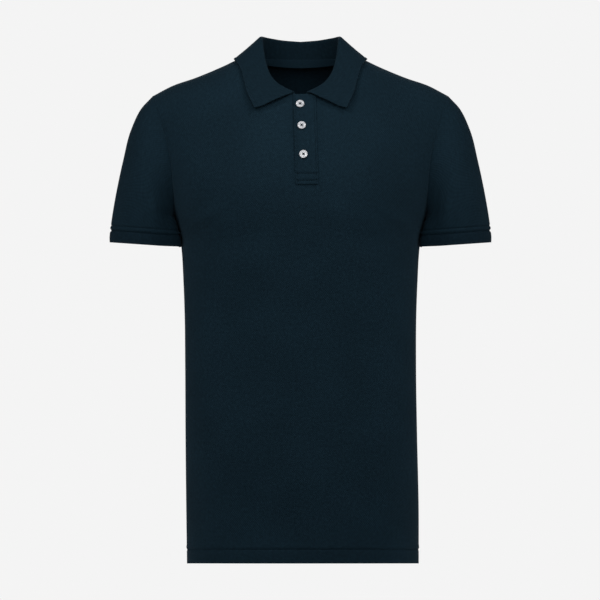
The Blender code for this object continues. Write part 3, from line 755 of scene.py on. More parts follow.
def front_columns(up):
    """The front's columns on a row, the middle ones along the slit's two edges."""
    slit = [placket_across(up, share / SLIT_COLUMNS, PLACKET_LAP) for share in range(SLIT_COLUMNS + 1)]
    right = half_columns(RIGHT, up, slit[0], front_neck_stations(RIGHT))
    left = half_columns(LEFT, up, slit[-1], front_neck_stations(LEFT))
    return [*right, *slit[1:-1], *left[::-1]]


def back_columns(up):
    left = half_columns(LEFT, up, 0, back_neck_stations(LEFT))
    right = half_columns(RIGHT, up, 0, back_neck_stations(RIGHT))
    return [*left, *right[::-1][1:]]


# %% The cloth of a panel, with its folds
STITCH_SINK = 0.9  # how far a line of stitching pulls the cloth in
STITCH_PULL = 1.2  # over how wide a stretch, to each side
RIDGE = 0.55  # the soft ridge that the pull leaves beside the line


def sunk_line(distance):
    """The form of cloth across a line of stitching, with its ridge on the far side."""
    valley = -STITCH_SINK * math.exp(-((distance / STITCH_PULL) ** 2))
    return valley + RIDGE * math.exp(-(((distance - 3 * STITCH_PULL) / (2 * STITCH_PULL)) ** 2))


def shirt_point(side, across, up):
    """A point of the outer face of the front or the back, with its folds and stitch lines."""
    point = body_point(side, across, up)
    edge = abs(body_point(side, 1, up).x)
    out = fold_height(FOLDS[side], point.x, point.z) * fold_share(side, point.x, point.z, edge)
    out += sunk_line(point.z - HEM_LINE)
    return point + body_normal(side, across, up) * out


def panel_wall(column, row):
    return HEM_WALL if LOWER_HEIGHTS[min(row, ARMPIT_ROW - 1)] <= HEM_LINE else PIQUE


def level_direction(vert):
    """The outward direction of a corner on a side or shoulder seam, shared by front and back."""
    level = Vector((vert.normal.x, 0, vert.normal.z)).normalized()
    return (level + Vector((0, SEAM_LEAN, 0))).normalized()


def seam_facing(last_column, side):
    """The outward direction of a panel's edge corners, shared with the neighbour they meet."""

    def facing(column, row, vert):
        if column in (0, last_column) and row > ARMPIT_ROW:
            wearer_side = LEFT if vert.co.x > 0 else RIGHT
            return armhole_facing(wearer_side, side, UPS[row])
        if abs(vert.co.y) < SEAM_GAP:
            return level_direction(vert)
        return None

    return facing


print(f"{len(UPS)} rows from the hem to the shoulder seams")

# %% [markdown]
# ## The sleeves
#
# A set-in sleeve is one cut piece: its head is curved to fit the armhole and it is closed by a seam
# under the arm. Lofting a few ovals would make a plain tube. Here a table gives the over-arm and
# under-arm lines, the first ring is the armhole's own edge, and that edge's shape fades out down the
# sleeve. Under the arm the sleeve rests against the side of the body, as it does on a wearer whose
# arms hang down.

# %% The surface of a sleeve
SLEEVE = Table(
    ("along", "over_reach", "over_height", "under_reach", "under_height", "front", "back"),
    (0.00, 212.0, -52.0, 179.3, -232.0, 56.0, 60.0),
    (0.12, 229.7, -71.7, 180.0, -236.0, 56.5, 60.0),
    (0.25, 243.1, -100.4, 179.4, -239.0, 56.5, 59.5),
    (0.45, 254.2, -143.4, 178.4, -242.5, 56.0, 58.5),
    (0.65, 263.4, -186.4, 177.4, -246.0, 55.0, 57.5),
    (0.85, 270.2, -225.0, 176.4, -249.5, 54.0, 56.5),
    (1.00, 272.6, -244.5, 175.6, -252.0, 53.5, 56.0),
    (1.10, 273.6, -261.6, 174.6, -268.4, 53.0, 55.5),
)
CUFF_TOP = 1.0  # these are places along the sleeve
CUFF_START = 1.0002
CUFF_END = 1.1
ARMHOLE_FADES_AT = 0.6  # how far along the sleeve the armhole's own curve is felt
UNDERARM_REST = 0.5  # between the sleeve and the side it hangs against
CUFF_STANDS_OFF = 1.2  # how much more that is at the cuff
STANDS_OFF_FROM = 0.2  # the place along the sleeve where it starts to be more
SEAM_GAP_ALONG = 0.125  # the part of the sleeve over which the armhole's seam gap closes
UNDER_QUARTER = 0.25  # the places round the sleeve that can rest on the side are below this
UNDERARM_HALF = 24.0  # half the width of the stretch that follows the side
UNDERARM_FADE = 26.0  # how far beyond that the sleeve takes to round away from it
UNDERARM_LEAD = 14.0  # how far above the armpit the sleeve starts to settle on the side
UNDERARM_DROP = 16.0  # the height over which it settles
UNDERARM_FREE = 0.03  # the stretch of sleeve below the armhole that isn't settled yet
FOLDED_APART = -0.78  # below this the two surfaces turn away from each other too far to share an edge


def side_reach(y, height):
    """How far out the body's side is, below the armpits."""
    half_width = BODY.read("half_width", height)
    depth = BODY.read(SIDE_NAME[FRONT if y < 0 else BACK], height)
    return half_width * max(1 - abs(y / depth) ** SQUARENESS, 0) ** (1 / SQUARENESS)


def armhole_point(around):
    """The armhole's edge on the wearer's left: around is 0 at the armpit and 0.5 at the shoulder."""
    side = FRONT if around <= 0.5 else BACK
    point = body_point(side, 1, 1 + 2 * min(around, 1 - around))
    if around in (0, 0.5, 1):
        point.y = 0
    return point


def sleeve_section(around, along):
    """A point of the plain oval that a sleeve's section would be on its own."""
    over = Vector((SLEEVE.read("over_reach", along), 0, SLEEVE.read("over_height", along)))
    under = Vector((SLEEVE.read("under_reach", along), 0, SLEEVE.read("under_height", along)))
    turn = 2 * math.pi * around
    point = (over + under) / 2 + (under - over) / 2 * math.cos(turn)
    depth = SLEEVE.read("front" if math.sin(turn) > 0 else "back", along)
    point.y = -depth * math.sin(turn)
    return point


def sleeve_point(around, along):
    """A point of the sleeve's or cuff's outer face, on the wearer's left, before its folds."""
    point = sleeve_section(around, along)
    fade = max(1 - along / ARMHOLE_FADES_AT, 0) ** 2
    if fade > 0:
        point += (armhole_point(around) - sleeve_section(around, 0)) * fade
    point.x += SEAM_GAP * max(1 - along / SEAM_GAP_ALONG, 0)
    if min(around, 1 - around) < UNDER_QUARTER:
        off = UNDERARM_REST + CUFF_STANDS_OFF * eased(along / CUFF_TOP - STANDS_OFF_FROM)
        rest = side_reach(point.y, point.z) + off
        beside = eased(1 - (abs(point.y) - UNDERARM_HALF) / UNDERARM_FADE)
        below = eased((ARMPIT_HEIGHT + UNDERARM_LEAD - point.z) / UNDERARM_DROP)
        point.x += (rest - point.x) * beside * below * eased(along / UNDERARM_FREE)
    return point


SLEEVE_SLOPE_STEP = 0.01


def sleeve_normal(around, along):
    """The way that the sleeve's surface faces, on the wearer's left."""
    before, after = (around - SLEEVE_SLOPE_STEP) % 1, (around + SLEEVE_SLOPE_STEP) % 1
    wide = sleeve_point(after, along) - sleeve_point(before, along)
    tall = sleeve_point(around, along + SLEEVE_SLOPE_STEP) - sleeve_point(around, along)
    return wide.cross(tall).normalized() * -1


def mirrored(point, wearer_side):
    """A point or direction of the wearer's left, on the side that is asked for."""
    return Vector((point.x * wearer_side, point.y, point.z))


SHOULDER_SEAM = 1.999  # rows above this end on the shoulder seam


def armhole_facing(wearer_side, side, up):
    """The shared outward direction of body and sleeve at the armhole, or None where they fold apart."""
    around = (up - 1) / 2 if side == FRONT else 1 - (up - 1) / 2
    body = body_normal(side, 1, up)
    sleeve = sleeve_normal(around, 0)
    if body.dot(sleeve) < FOLDED_APART:
        return None
    shared = (body + sleeve).normalized() + Vector((SEAM_LEAN, 0, 0))
    if up > SHOULDER_SEAM:
        shared.y = 0
    return mirrored(shared.normalized(), wearer_side)


def cuff_facing(wearer_side, around):
    """The shared outward direction of sleeve and cuff at their seam."""
    shared = sleeve_normal(around, CUFF_TOP) - Vector((0, 0, SEAM_LEAN))
    return mirrored(shared.normalized(), wearer_side)


# %% [markdown]
# Now both halves of the body can be made. The slit is cut by deleting the net's faces between its two
# edges, above the row that lies at its foot, and that row is set level first.


# %% Make the front and the back
def slit_row():
    """The panel row nearest to the slit's lower end."""
    return min(range(len(UPS)), key=lambda row: abs(middle_height(FRONT, UPS[row]) - SLIT_BOTTOM))


def make_front():
    rows = [front_columns(up) for up in UPS]
    columns = len(rows[0]) - 1
    first = SHOULDER_COLUMNS + NECK_COLUMNS
    last = first + SLIT_COLUMNS
    foot = slit_row()

    def place(column, row):
        share = (column - first) / SLIT_COLUMNS
        if row == foot and 0 <= share <= 1:
            return body_point(FRONT, *straight_across(SLIT_BOTTOM, share, PLACKET_LAP))
        return shirt_point(FRONT, rows[row][column], UPS[row])

    bm = grid_sheet(columns, len(UPS) - 1, place)
    column_layer, row_layer = net_layers(bm)
    slit = [
        face
        for face in bm.faces
        if all(first <= v[column_layer] <= last and v[row_layer] >= foot for v in face.verts)
    ]
    bmesh.ops.delete(bm, geom=slit, context="FACES")
    thicken(bm, panel_wall, seam_facing(columns, FRONT))
    return finish_piece("front", bm, pique, "body_front")


def make_back():
    rows = [back_columns(up) for up in UPS]
    columns = len(rows[0]) - 1

    def place(column, row):
        return shirt_point(BACK, rows[row][column], UPS[row])

    bm = grid_sheet(columns, len(UPS) - 1, place)
    thicken(bm, panel_wall, seam_facing(columns, BACK))
    return finish_piece("back", bm, pique, "body_back")


make_front()
make_back()

# %% Folds and stitching of the sleeves
SLEEVE_GIRTH = 420.0  # lengths that turn a place on the sleeve into millimetres
SLEEVE_LENGTH = 200.0
SEAM_DIP = 1.5  # how far the cuff's seam draws in the knit on both of its sides
SEAM_DIP_WIDTH = 1.6
CUFF_STITCH_ABOVE = 7.2  # the seam allowance is stitched down this far above the cuff
STITCHED_FROM = 0.5  # the stitching is somewhere beyond this place along the sleeve
HEAD_CALM = 0.2  # the folds die away over these parts of the sleeve, at its head,
CUFF_CALM = 0.12  # at its cuff
UNDERARM_CALM = 0.12  # and to each side of the seam under the arm
LINES_END_AT = 0.05  # how near to that seam the dips and stitch lines reach
LINES_FADE = 0.06
AROUND_STEPS = 112

LEFT_SLEEVE_FOLDS = (
    (58, -92, 46, 9, 24, -1.5),  # pulls from the armpit, first round the front
    (84, -120, 52, 12, 20, 1.3),
    (128, -66, 60, 24, 6, 1.2),
    (176, -150, 44, 16, -10, -1.0),
    (262, -120, 60, 22, 10, 1.3),
    (330, -88, 54, 10, -22, -1.6),
    (296, -140, 50, 12, -16, 1.1),
)
RIGHT_SLEEVE_FOLDS = (
    (54, -98, 44, 8, 28, -1.4),
    (88, -112, 54, 13, 17, 1.4),
    (136, -74, 58, 22, 4, 1.1),
    (170, -142, 48, 17, -12, -1.1),
    (256, -112, 56, 24, 12, 1.2),
    (336, -94, 50, 9, -25, -1.5),
    (300, -146, 48, 13, -14, 1.2),
)
SLEEVE_FOLDS = {LEFT: LEFT_SLEEVE_FOLDS, RIGHT: RIGHT_SLEEVE_FOLDS}


def clear_of_side(around):
    """1 where a line round the sleeve can sink in, and 0 under the arm, where it rests on the body."""
    return eased((min(around, 1 - around) - LINES_END_AT) / LINES_FADE)


def seam_dip(distance):
    return SEAM_DIP * math.exp(-((distance / SEAM_DIP_WIDTH) ** 2))


def shirt_sleeve_point(around, along, wearer_side):
    """A point of a sleeve's outer face, with its folds and its line of stitching."""
    point = sleeve_point(around, along)
    calm = eased(along / HEAD_CALM) * eased((CUFF_TOP - along) / CUFF_CALM)
    calm *= eased(min(around, 1 - around) / UNDERARM_CALM)
    folds = SLEEVE_FOLDS[wearer_side]
    out = fold_height(folds, around * SLEEVE_GIRTH, -along * SLEEVE_LENGTH) * calm
    if along > STITCHED_FROM:
        above_cuff = (point - sleeve_point(around, CUFF_TOP)).length
        clear = clear_of_side(around)
        out += (sunk_line(CUFF_STITCH_ABOVE - above_cuff) - seam_dip(above_cuff)) * clear
    return mirrored(point + sleeve_normal(around, along) * out, wearer_side)


# %% Make the sleeves
SLEEVE_RINGS = [  # closer together at the armhole and at the cuff's stitching
    *np.linspace(0, 0.12, 9)[:-1],
    *np.linspace(0.12, 0.88, 40)[:-1],
    *np.linspace(0.88, 1, 22),
]


def make_sleeve(wearer_side):
    """A tube of one cut piece, its first ring on the armhole and its seam under the arm."""
    last_ring = len(SLEEVE_RINGS) - 1

    def place(column, row):
        around = column / AROUND_STEPS
        if row == 0:
            return mirrored(sleeve_point(around, 0), wearer_side)
        return shirt_sleeve_point(around, SLEEVE_RINGS[row], wearer_side)

    def facing(column, row, vert):
        around = column / AROUND_STEPS
        if row == last_ring:
            return cuff_facing(wearer_side, around)
        if row > 0:
            return None
        side = FRONT if around <= 0.5 else BACK
        up = 1 + 2 * min(around, 1 - around)
        return armhole_facing(wearer_side, side, up) if up > 1 else None

    bm = grid_sheet(AROUND_STEPS, last_ring, place)
    close_tube(bm)
    thicken(bm, PIQUE, facing)
    name = WEARER_SIDE[wearer_side]
    return finish_piece(f"{name}_sleeve", bm, pique, f"sleeve_{name}")


for wearer_side in (LEFT, RIGHT):
    make_sleeve(wearer_side)

# %% [markdown]
# ## Ribbed knit
#
# The cuffs and the collar are knitted to size on a flat machine, in a fine rib that runs across their
# length and lets them spring back. One wave along the piece makes the ribs, a finer one across them
# makes the knit's rows, and both go to the Bump. Rib is dyed with the cloth, so it has the same navies,
# darkened a little all over and more in its valleys by painted shade, most of all in the cuffs.

# %% Navy rib
RIB_PITCH = 1.9
RIB_ROW_PITCH = 1.1
RIB_ROW_RELIEF = 0.12
RIB_YARN_RELIEF = 0.4
VALLEY_SHADE = 0.4  # how much darker a valley is at full relief


def make_rib(name, tone, relief):
    """A finish of rib knit. tone multiplies the navies as painted shade, and relief is 1 for the boldest
    ribs.
    """
    material, shader = new_finish(name, roughness=0.9, sheen=0.03)
    cloth, across, up = cloth_place(material)
    ribs = as_height(material, wave(material, across, RIB_PITCH))
    rows = times(material, wave(material, up, RIB_ROW_PITCH), RIB_ROW_RELIEF)
    yarn = noise(material, cloth, 0.8, detail=3.0)
    mottle = noise(material, cloth, 4.0, detail=4.0)
    # Painted shade: the valleys between the ribs are darkened in the colour, and tone darkens the whole
    # rib.
    painted_valley_shade = ramp(material, ribs, (0.0, grey(1 - VALLEY_SHADE * relief)), (0.5, grey(1.0)))
    colour = tinted(material, navies(material, mottle), painted_valley_shade)
    join(material, shader.inputs["Base Color"], tinted(material, colour, (*tone, 1)))
    knit = plus(material, plus(material, ribs, rows), times(material, yarn, RIB_YARN_RELIEF))
    raise_surface(material, shader, knit, depth=0.25, strength=relief)
    return material


# Each tone is painted shade that darkens the whole rib, deeper on the cuffs.
cuff_rib = make_rib("navy rib of the cuffs", tone=(0.84, 0.84, 0.86), relief=0.7)
collar_rib = make_rib("navy rib of the collar", tone=(0.88, 0.88, 0.88), relief=0.35)

# %% [markdown]
# ## The cuffs
#
# Each sleeve ends in a band of rib, sewn on edge to edge. It carries the sleeve's surface on, and it
# holds the sleeve in a little, so it dips at the seam and swells again in its middle.

# %% Make the cuffs
RIB = 1.9
KNIT_ROUNDING = 0.6  # of the edges of the cuffs and the collar
CUFF_DEPTH = 18.0
CUFF_SHARES = (0, 0.03, 0.06, 0.09, 0.13, 0.18, 0.25, 0.34, 0.45, 0.56, 0.67, 0.78, 0.89, 0.95, 1)
CUFF_SWELL = 0.7


def make_cuff(wearer_side):
    """A band of rib knit on the end of the sleeve."""

    def place(column, row):
        around = column / AROUND_STEPS
        share = CUFF_SHARES[row]
        point = sleeve_point(around, CUFF_START + (CUFF_END - CUFF_START) * share)
        out = CUFF_SWELL * math.sin(math.pi * share) * eased(min(around, 1 - around) / UNDERARM_CALM)
        out -= seam_dip(CUFF_DEPTH * share) * clear_of_side(around)
        return mirrored(point + sleeve_normal(around, CUFF_TOP) * out, wearer_side)

    def facing(column, row, vert):
        return cuff_facing(wearer_side, column / AROUND_STEPS) if row == 0 else None

    bm = grid_sheet(AROUND_STEPS, len(CUFF_SHARES) - 1, place)
    close_tube(bm)
    thicken(bm, RIB, facing)
    name = WEARER_SIDE[wearer_side]
    return finish_piece(f"{name}_cuff", bm, cuff_rib, f"cuff_{name}", KNIT_ROUNDING)


for wearer_side in (LEFT, RIGHT):
    make_cuff(wearer_side)

# %% [markdown]
# ## The placket
#
# The slit down the front is finished with two bands of folded pique. The under band lies in the slit
# and carries the buttons, and the upper band, on the wearer's left, laps over it. Their foot is held
# down by a narrow box of stitching. Both are laid on the front's own surface and moved out from it.
# The columns crowd together near the edges, where the stitching pulls the band in.

# %% Make the bands
PLACKET_WALL = 1.5
PLY_GAP = 0.45  # under a piece that lies on another one's curve
BAND_SURFACE = PLY_GAP + PLACKET_WALL  # from the front to the upper band's own face
BAND_ROUNDING = 0.5
BAND_STITCH_IN = 2.4  # from the band's edge
BAND_SINK = 0.6  # its stitching sinks this much of the hem's, as the band is firmer
FREE_EDGE_LIFT = 1.0  # the buttoned edge stands off a little above the box of stitching
FREE_EDGE_SHARE = 0.12  # over this share of the band's width
FREE_EDGE_FROM_BOX = 20.0  # and growing over this height
BOX_LINES = (-162.8, -172.8)  # heights of the box's two cross lines
EDGE_SHARES = (0, 0.02, 0.045, 0.07, 0.095, 0.13, 0.2, 0.35)
BAND_SHARES = (*EDGE_SHARES, 0.5, 0.65, 0.8, 0.87, 0.905, 0.93, 0.955, 0.98, 1)
BAND_ROWS = 110


def make_under_band():
    """The band that fills the slit, level with the front."""
    lap = PLACKET_LAP + 2 * SEAM_GAP

    def out_at(share, height):
        return 0

    return make_band("under_band", SLIT_BOTTOM + SEAM_GAP, lap, out_at, "placket_under")


def make_upper_band():
    """The band that is laid over the slit, with its box of stitching and its free edge."""

    def out_at(share, height):
        above_box = eased((height - BOX_LINES[0]) / FREE_EDGE_FROM_BOX)
        from_edge = min(share, 1 - share) * PLACKET_WIDTH
        out = BAND_SURFACE
        out += FREE_EDGE_LIFT * eased(1 - share / FREE_EDGE_SHARE) * above_box
        out += BAND_SINK * sunk_line(BAND_STITCH_IN - from_edge)
        return out + sum(sunk_line(height - line) for line in BOX_LINES)

    return make_band("upper_band", PLACKET_BOTTOM, 0, out_at, "placket_upper")


def make_band(name, bottom, lap, out_at, node):
    """A straight band, laid on the front's surface and moved out from it by out_at."""
    heights = np.linspace(bottom, PLACKET_TOP, BAND_ROWS + 1)

    def place(column, row):
        share = BAND_SHARES[column]
        out = out_at(share, heights[row])
        return off_front(straight_across(heights[row], share, lap), out)[0]

    bm = grid_sheet(len(BAND_SHARES) - 1, BAND_ROWS, place)
    thicken(bm, PLACKET_WALL)
    return finish_piece(name, bm, pique, node, BAND_ROUNDING)


make_under_band()
make_upper_band()

# %% [markdown]
# ## The collar
#
# A polo collar is one knitted strip. Its lower part stands up from the neck seam, it turns over in a
# soft roll, and the leaf falls outside to a finished edge with a pointed corner at each front. The
# table gives the roll line and the outer edge for one half, station by station round the neck, and the
# section between them is a straight stand, an arc for the roll and a softly arched leaf. The leaf must
# lie clear of the shirt, so each point that comes too near is moved out from the body's own surface.

# %% Sizes of the collar
COLLAR_KNIT = 1.7
COLLAR = Table(
    ("round", "roll_x", "roll_y", "roll_z", "edge_x", "edge_y", "edge_z"),
    (0.034, 9.0, -72.6, -45.2, 66.0, -96.0, -68.0),
    (0.128, 21.8, -70.0, -39.5, 71.0, -90.0, -57.5),
    (0.231, 35.1, -62.5, -31.0, 76.5, -80.0, -46.0),
    (0.333, 45.2, -50.0, -18.0, 80.5, -66.0, -31.0),
    (0.444, 52.5, -32.0, 3.0, 86.0, -42.0, -11.5),
    (0.56, 56.3, -7.0, 29.5, 95.0, -8.0, 1.5),
    (0.64, 57.0, 8.0, 33.5, 94.5, 20.0, -1.0),
    (0.76, 46.0, 35.0, 31.5, 82.0, 56.0, -14.0),
    (0.88, 25.0, 50.5, 28.0, 46.0, 79.0, -24.0),
    (1.00, 0.0, 55.0, 26.0, 0.0, 87.0, -28.0),
)
COLLAR_ROLL = 2.6  # outer radius of its fold
COLLAR_DROP = 2.5  # how far the stand reaches down inside the neck seam
LEAF_LIFT = 2.0  # how far the middle of the leaf stands off the cloth beneath
FRONT_LEAF_LIFT = 6.5  # the same at the leaf's front edge
FRONT_LEAF_BOW = 2.6  # how far that edge sags below a straight line
FRONT_LEAF_SHARE = 0.2  # how far round the neck the front edge's own shape is felt
LEAF_CLEARANCE = COLLAR_KNIT + 0.8
STAND_ROWS = 10
FOLD_ROWS = 14
FALL_SHARES = (*np.linspace(0, 0.88, 21)[1:], 0.905, 0.925, 0.94, 0.955, 0.97, 0.985, 1.0)
LEAST_FALL = 0.01  # keeps the slope of the leaf readable where it falls straight down
EDGE_WELT = 0.6  # the knitted edge is thicker than the leaf
EDGE_WELT_FROM = 0.94


def collar_curve(name, around):
    """A point of the collar's roll line or outer edge."""
    share = 1 - abs(around)
    point = Vector([COLLAR.read(f"{name}_{axis}", share) for axis in "xyz"])
    point.x *= math.copysign(1, around)
    return point


def collar_foot(around):
    """The stand's lower end, on its neck side, just inside the panels' edge."""
    side, across = neck_place(around)
    inner = body_point(side, across, 2) - body_normal(side, across, 2) * PIQUE
    neckward = -Vector((inner.x, inner.y, 0)).normalized()
    return inner + neckward * (SEAM_GAP + COLLAR_KNIT) - Vector((0, 0, COLLAR_DROP))


# %% The body without its neck opening
FORM_STEPS = 120


def body_form():
    """The body's outer face with no neck opening, for what lies on it to be set against."""
    whole = bmesh.new()
    mesh = bpy.data.meshes.new("form")
    for side in (FRONT, BACK):

        def place(column, row, side=side):
            across = side * (1 - 2 * column / FORM_STEPS)
            return body_point(side, across, 1 + row / FORM_STEPS, neck_cut=False)

        half = grid_sheet(FORM_STEPS, FORM_STEPS, place)
        half.to_mesh(mesh)
        half.free()
        whole.from_mesh(mesh)
    form = BVHTree.FromBMesh(whole)
    whole.free()
    bpy.data.meshes.remove(mesh)
    return form


FORM = body_form()


def over_body(point, least):
    """The point, moved out where it is nearer to the body than least."""
    nearest, normal, _, _ = FORM.find_nearest(point)
    edge = placket_edge(nearest.z)
    if nearest.y < 0 and edge - PLACKET_LAP < nearest.x < edge + PLACKET_WIDTH + PLACKET_LAP:
        least += BAND_SURFACE
    if normal.y * nearest.y < 0:
        normal = -normal
    height = (point - nearest).dot(normal)
    return point + normal * max(least - height, 0)


# %% Make the collar
def collar_profile(around):
    """The collar's section from the neck seam over its fold to its outer edge, on the shown face."""
    roll = collar_curve("roll", around)
    edge = over_body(collar_curve("edge", around), LEAF_CLEARANCE)
    foot = collar_foot(around)
    outward = Vector((roll.x, roll.y, 0)).normalized()
    up = Vector((0, 0, 1))
    centre = roll - up * COLLAR_ROLL
    leaf = edge - roll
    steep = math.atan2(-leaf.z, max(leaf.dot(outward), LEAST_FALL))
    fold = [
        centre + COLLAR_ROLL * (up * math.sin(turn) - outward * math.cos(turn))
        for turn in np.linspace(0, math.pi / 2 + steep, FOLD_ROWS + 1)
    ]
    stand = [foot.lerp(fold[0], row / STAND_ROWS) for row in range(STAND_ROWS)]
    near_front = eased((abs(around) - 1 + FRONT_LEAF_SHARE) / FRONT_LEAF_SHARE)
    lift = LEAF_LIFT + (FRONT_LEAF_LIFT - LEAF_LIFT) * near_front
    fall = []
    for share in FALL_SHARES:
        arch = math.sin(math.pi * share)
        point = fold[-1].lerp(edge, share) - up * FRONT_LEAF_BOW * near_front * arch
        fall.append(over_body(point, LEAF_CLEARANCE + lift * arch))
    return [*stand, *fold, *fall]


def collar_stations():
    """Places round the neck from one end of the collar to the other."""
    right = front_neck_stations(RIGHT)
    left = front_neck_stations(LEFT)
    back_half = [*back_neck_stations(RIGHT), *back_neck_stations(LEFT)[::-1][1:]]
    return [*right[::-1], *back_half[1:-1], *left, -right[-1]]


def make_collar():
    profiles = [collar_profile(around) for around in collar_stations()]
    welt_row = len(profiles[0]) - sum(share >= EDGE_WELT_FROM for share in FALL_SHARES)

    def place(column, row):
        return profiles[column][row]

    bm = grid_sheet(len(profiles) - 1, len(profiles[0]) - 1, place)
    _, row_layer = net_layers(bm)
    bm.normal_update()
    for vert in bm.verts:
        if vert[row_layer] >= welt_row:
            vert.co += vert.normal * EDGE_WELT
    thicken(bm, COLLAR_KNIT)
    return finish_piece("knit_collar", bm, collar_rib, "collar", KNIT_ROUNDING)


make_collar()

# %% [markdown]
# ## The neck tape
#
# A narrow twill tape covers the back neck seam from shoulder to shoulder, so that nothing scratches.
# It lies against the foot of the stand. Twill shows as fine diagonal ribs: one wave that climbs with
# both directions of the map.

# %% Make the neck tape
TAPE_WALL = 1.0
TAPE_ENDS_AT = 0.49  # places round the neck, where 0.5 is the shoulder seam
TAPE_ABOVE_SEAM = 4.5
TAPE_BELOW_FOOT = 0.5
TAPE_SAG = 4.5  # how much lower it reaches in the middle of the back
TAPE_ROWS = 8
TAPE_ROUNDING = 0.3
TWILL_PITCH = 1.3
TWILL_YARN_RELIEF = 0.4


def make_twill():
    material, shader = new_finish("navy twill tape", roughness=0.85, sheen=0.04)
    cloth, across, up = cloth_place(material)
    ribs = as_height(material, wave(material, plus(material, across, up), TWILL_PITCH))
    yarn = noise(material, cloth, 0.7)
    # Painted shade and light: the colour follows the ribs, deepest in their valleys and lightest on
    # their crests, with the yarn's random tone mixed in.
    blend = times(material, plus(material, ribs, yarn), 0.5)
    colour = ramp(material, blend, (0.1, NAVY_DEEP), (0.5, NAVY), (0.9, NAVY_LIGHT))
    join(material, shader.inputs["Base Color"], colour)
    weave = plus(material, ribs, times(material, yarn, TWILL_YARN_RELIEF))
    raise_surface(material, shader, weave, depth=0.2)
    return material


def tape_profile(around):
    """The tape's section over the back neck seam, on the face that shows inside the neck."""
    foot = collar_foot(around)
    stand = (collar_curve("roll", around) - foot).normalized()
    neckward = -Vector((foot.x, foot.y, 0)).normalized()
    off_stand = (neckward - stand * neckward.dot(stand)).normalized()
    proud = off_stand * (PLY_GAP + TAPE_WALL)
    top = foot + stand * (COLLAR_DROP + TAPE_ABOVE_SEAM) + proud
    sag = TAPE_SAG * (1 - (around / TAPE_ENDS_AT) ** 2) ** 3
    bottom = foot - stand * (TAPE_BELOW_FOOT + sag) + proud
    return [top.lerp(bottom, row / TAPE_ROWS) for row in range(TAPE_ROWS + 1)]


def make_neck_tape():
    stations = [around for around in collar_stations() if abs(around) < TAPE_ENDS_AT]
    profiles = [tape_profile(around) for around in reversed(stations)]

    def place(column, row):
        return profiles[column][TAPE_ROWS - row]

    bm = grid_sheet(len(profiles) - 1, TAPE_ROWS, place)
    thicken(bm, TAPE_WALL)
    return finish_piece("twill_tape", bm, make_twill(), "neck_tape", TAPE_ROUNDING)


make_neck_tape()

# %% [markdown]
# ## The buttons
#
# Shirt buttons are turned from a polyester rod that imitates mother-of-pearl: a disc with a raised
# rim, a shallow dish and four thread holes. A profile spun round an axis gives the disc, and an exact
# Boolean takes out the holes. Turning a picture of a hole into bump would stay flat from the side.

# %% Pearl
PEARL_SHADE = (0.36, 0.37, 0.40)
PEARL = (0.62, 0.63, 0.66)
PEARL_LIGHT = (0.86, 0.87, 0.88)


def make_pearl():
    material, shader = new_finish("pearly polyester", roughness=0.22, sheen=0.0)
    swirl = noise(material, object_place(material), 5.0, detail=3.0, distortion=2.5)
    colour = ramp(material, swirl, (0.30, PEARL_SHADE), (0.50, PEARL), (0.70, PEARL_LIGHT))
    join(material, shader.inputs["Base Color"], colour)
    shader.inputs["Coat Weight"].default_value = 0.6
    shader.inputs["Coat Roughness"].default_value = 0.08
    shader.inputs["Specular IOR Level"].default_value = 0.5
    raise_surface(material, shader, swirl, depth=0.04)
    return material


pearl = make_pearl()

# %% Make the buttons
BUTTONS = (  # across, height
    (-0.6, -64.4),
    (1.7, -94.8),
    (4.2, -135.8),
)
BUTTON_RADIUS = 6.0
BUTTON_THICKNESS = 2.4
BUTTON_RIM = 1.0  # width of the raised rim
BUTTON_DISH = 0.6
BUTTON_HOLE_RADIUS = 0.75
BUTTON_HOLE_PITCH = 2.7
BUTTON_GAP = 0.3
BUTTON_SIDES = 64
BUTTON_HOLE_SIDES = 20
BUTTON_PROFILE = (  # radius, height
    (0, BUTTON_THICKNESS - BUTTON_DISH),
    (BUTTON_RADIUS - 2.2 * BUTTON_RIM, BUTTON_THICKNESS - BUTTON_DISH),
    (BUTTON_RADIUS - 1.7 * BUTTON_RIM, BUTTON_THICKNESS - 0.8 * BUTTON_DISH),
    (BUTTON_RADIUS - 1.2 * BUTTON_RIM, BUTTON_THICKNESS - 0.15 * BUTTON_DISH),
    (BUTTON_RADIUS - 0.9 * BUTTON_RIM, BUTTON_THICKNESS),
    (BUTTON_RADIUS - 0.5 * BUTTON_RIM, BUTTON_THICKNESS - 0.05),
    (BUTTON_RADIUS - 0.15 * BUTTON_RIM, BUTTON_THICKNESS - 0.45),
    (BUTTON_RADIUS, BUTTON_THICKNESS / 2),
    (BUTTON_RADIUS - 0.3 * BUTTON_RIM, BUTTON_THICKNESS / 4),
    (BUTTON_RADIUS - 1.2 * BUTTON_RIM, 0),
    (0, 0),
)
HOLE_CORNERS = ((1, 1), (-1, 1), (-1, -1), (1, -1))


def button_seat(x, height):
    """Where a button's back goes: on the upper band, turned to face as the band does."""
    place, normal = off_front(place_at(x, height), BAND_SURFACE + BUTTON_GAP)
    turn = normal.to_track_quat("Z", "Y").to_matrix().to_4x4()
    turn.translation = place
    return turn


def spun_button():
    """A dished disc with a raised rim, its back on the plane z = 0."""
    bm = bmesh.new()
    verts = [bm.verts.new((radius, 0, height)) for radius, height in BUTTON_PROFILE]
    edges = [bm.edges.new(pair) for pair in zip(verts, verts[1:])]
    bmesh.ops.spin(
        bm,
        geom=verts + edges,
        axis=(0, 0, 1),
        cent=(0, 0, 0),
        angle=2 * math.pi,
        steps=BUTTON_SIDES,
        use_merge=True,
    )
    bmesh.ops.remove_doubles(bm, verts=bm.verts[:], dist=0.001)
    bmesh.ops.recalc_face_normals(bm, faces=bm.faces[:])
    return bm


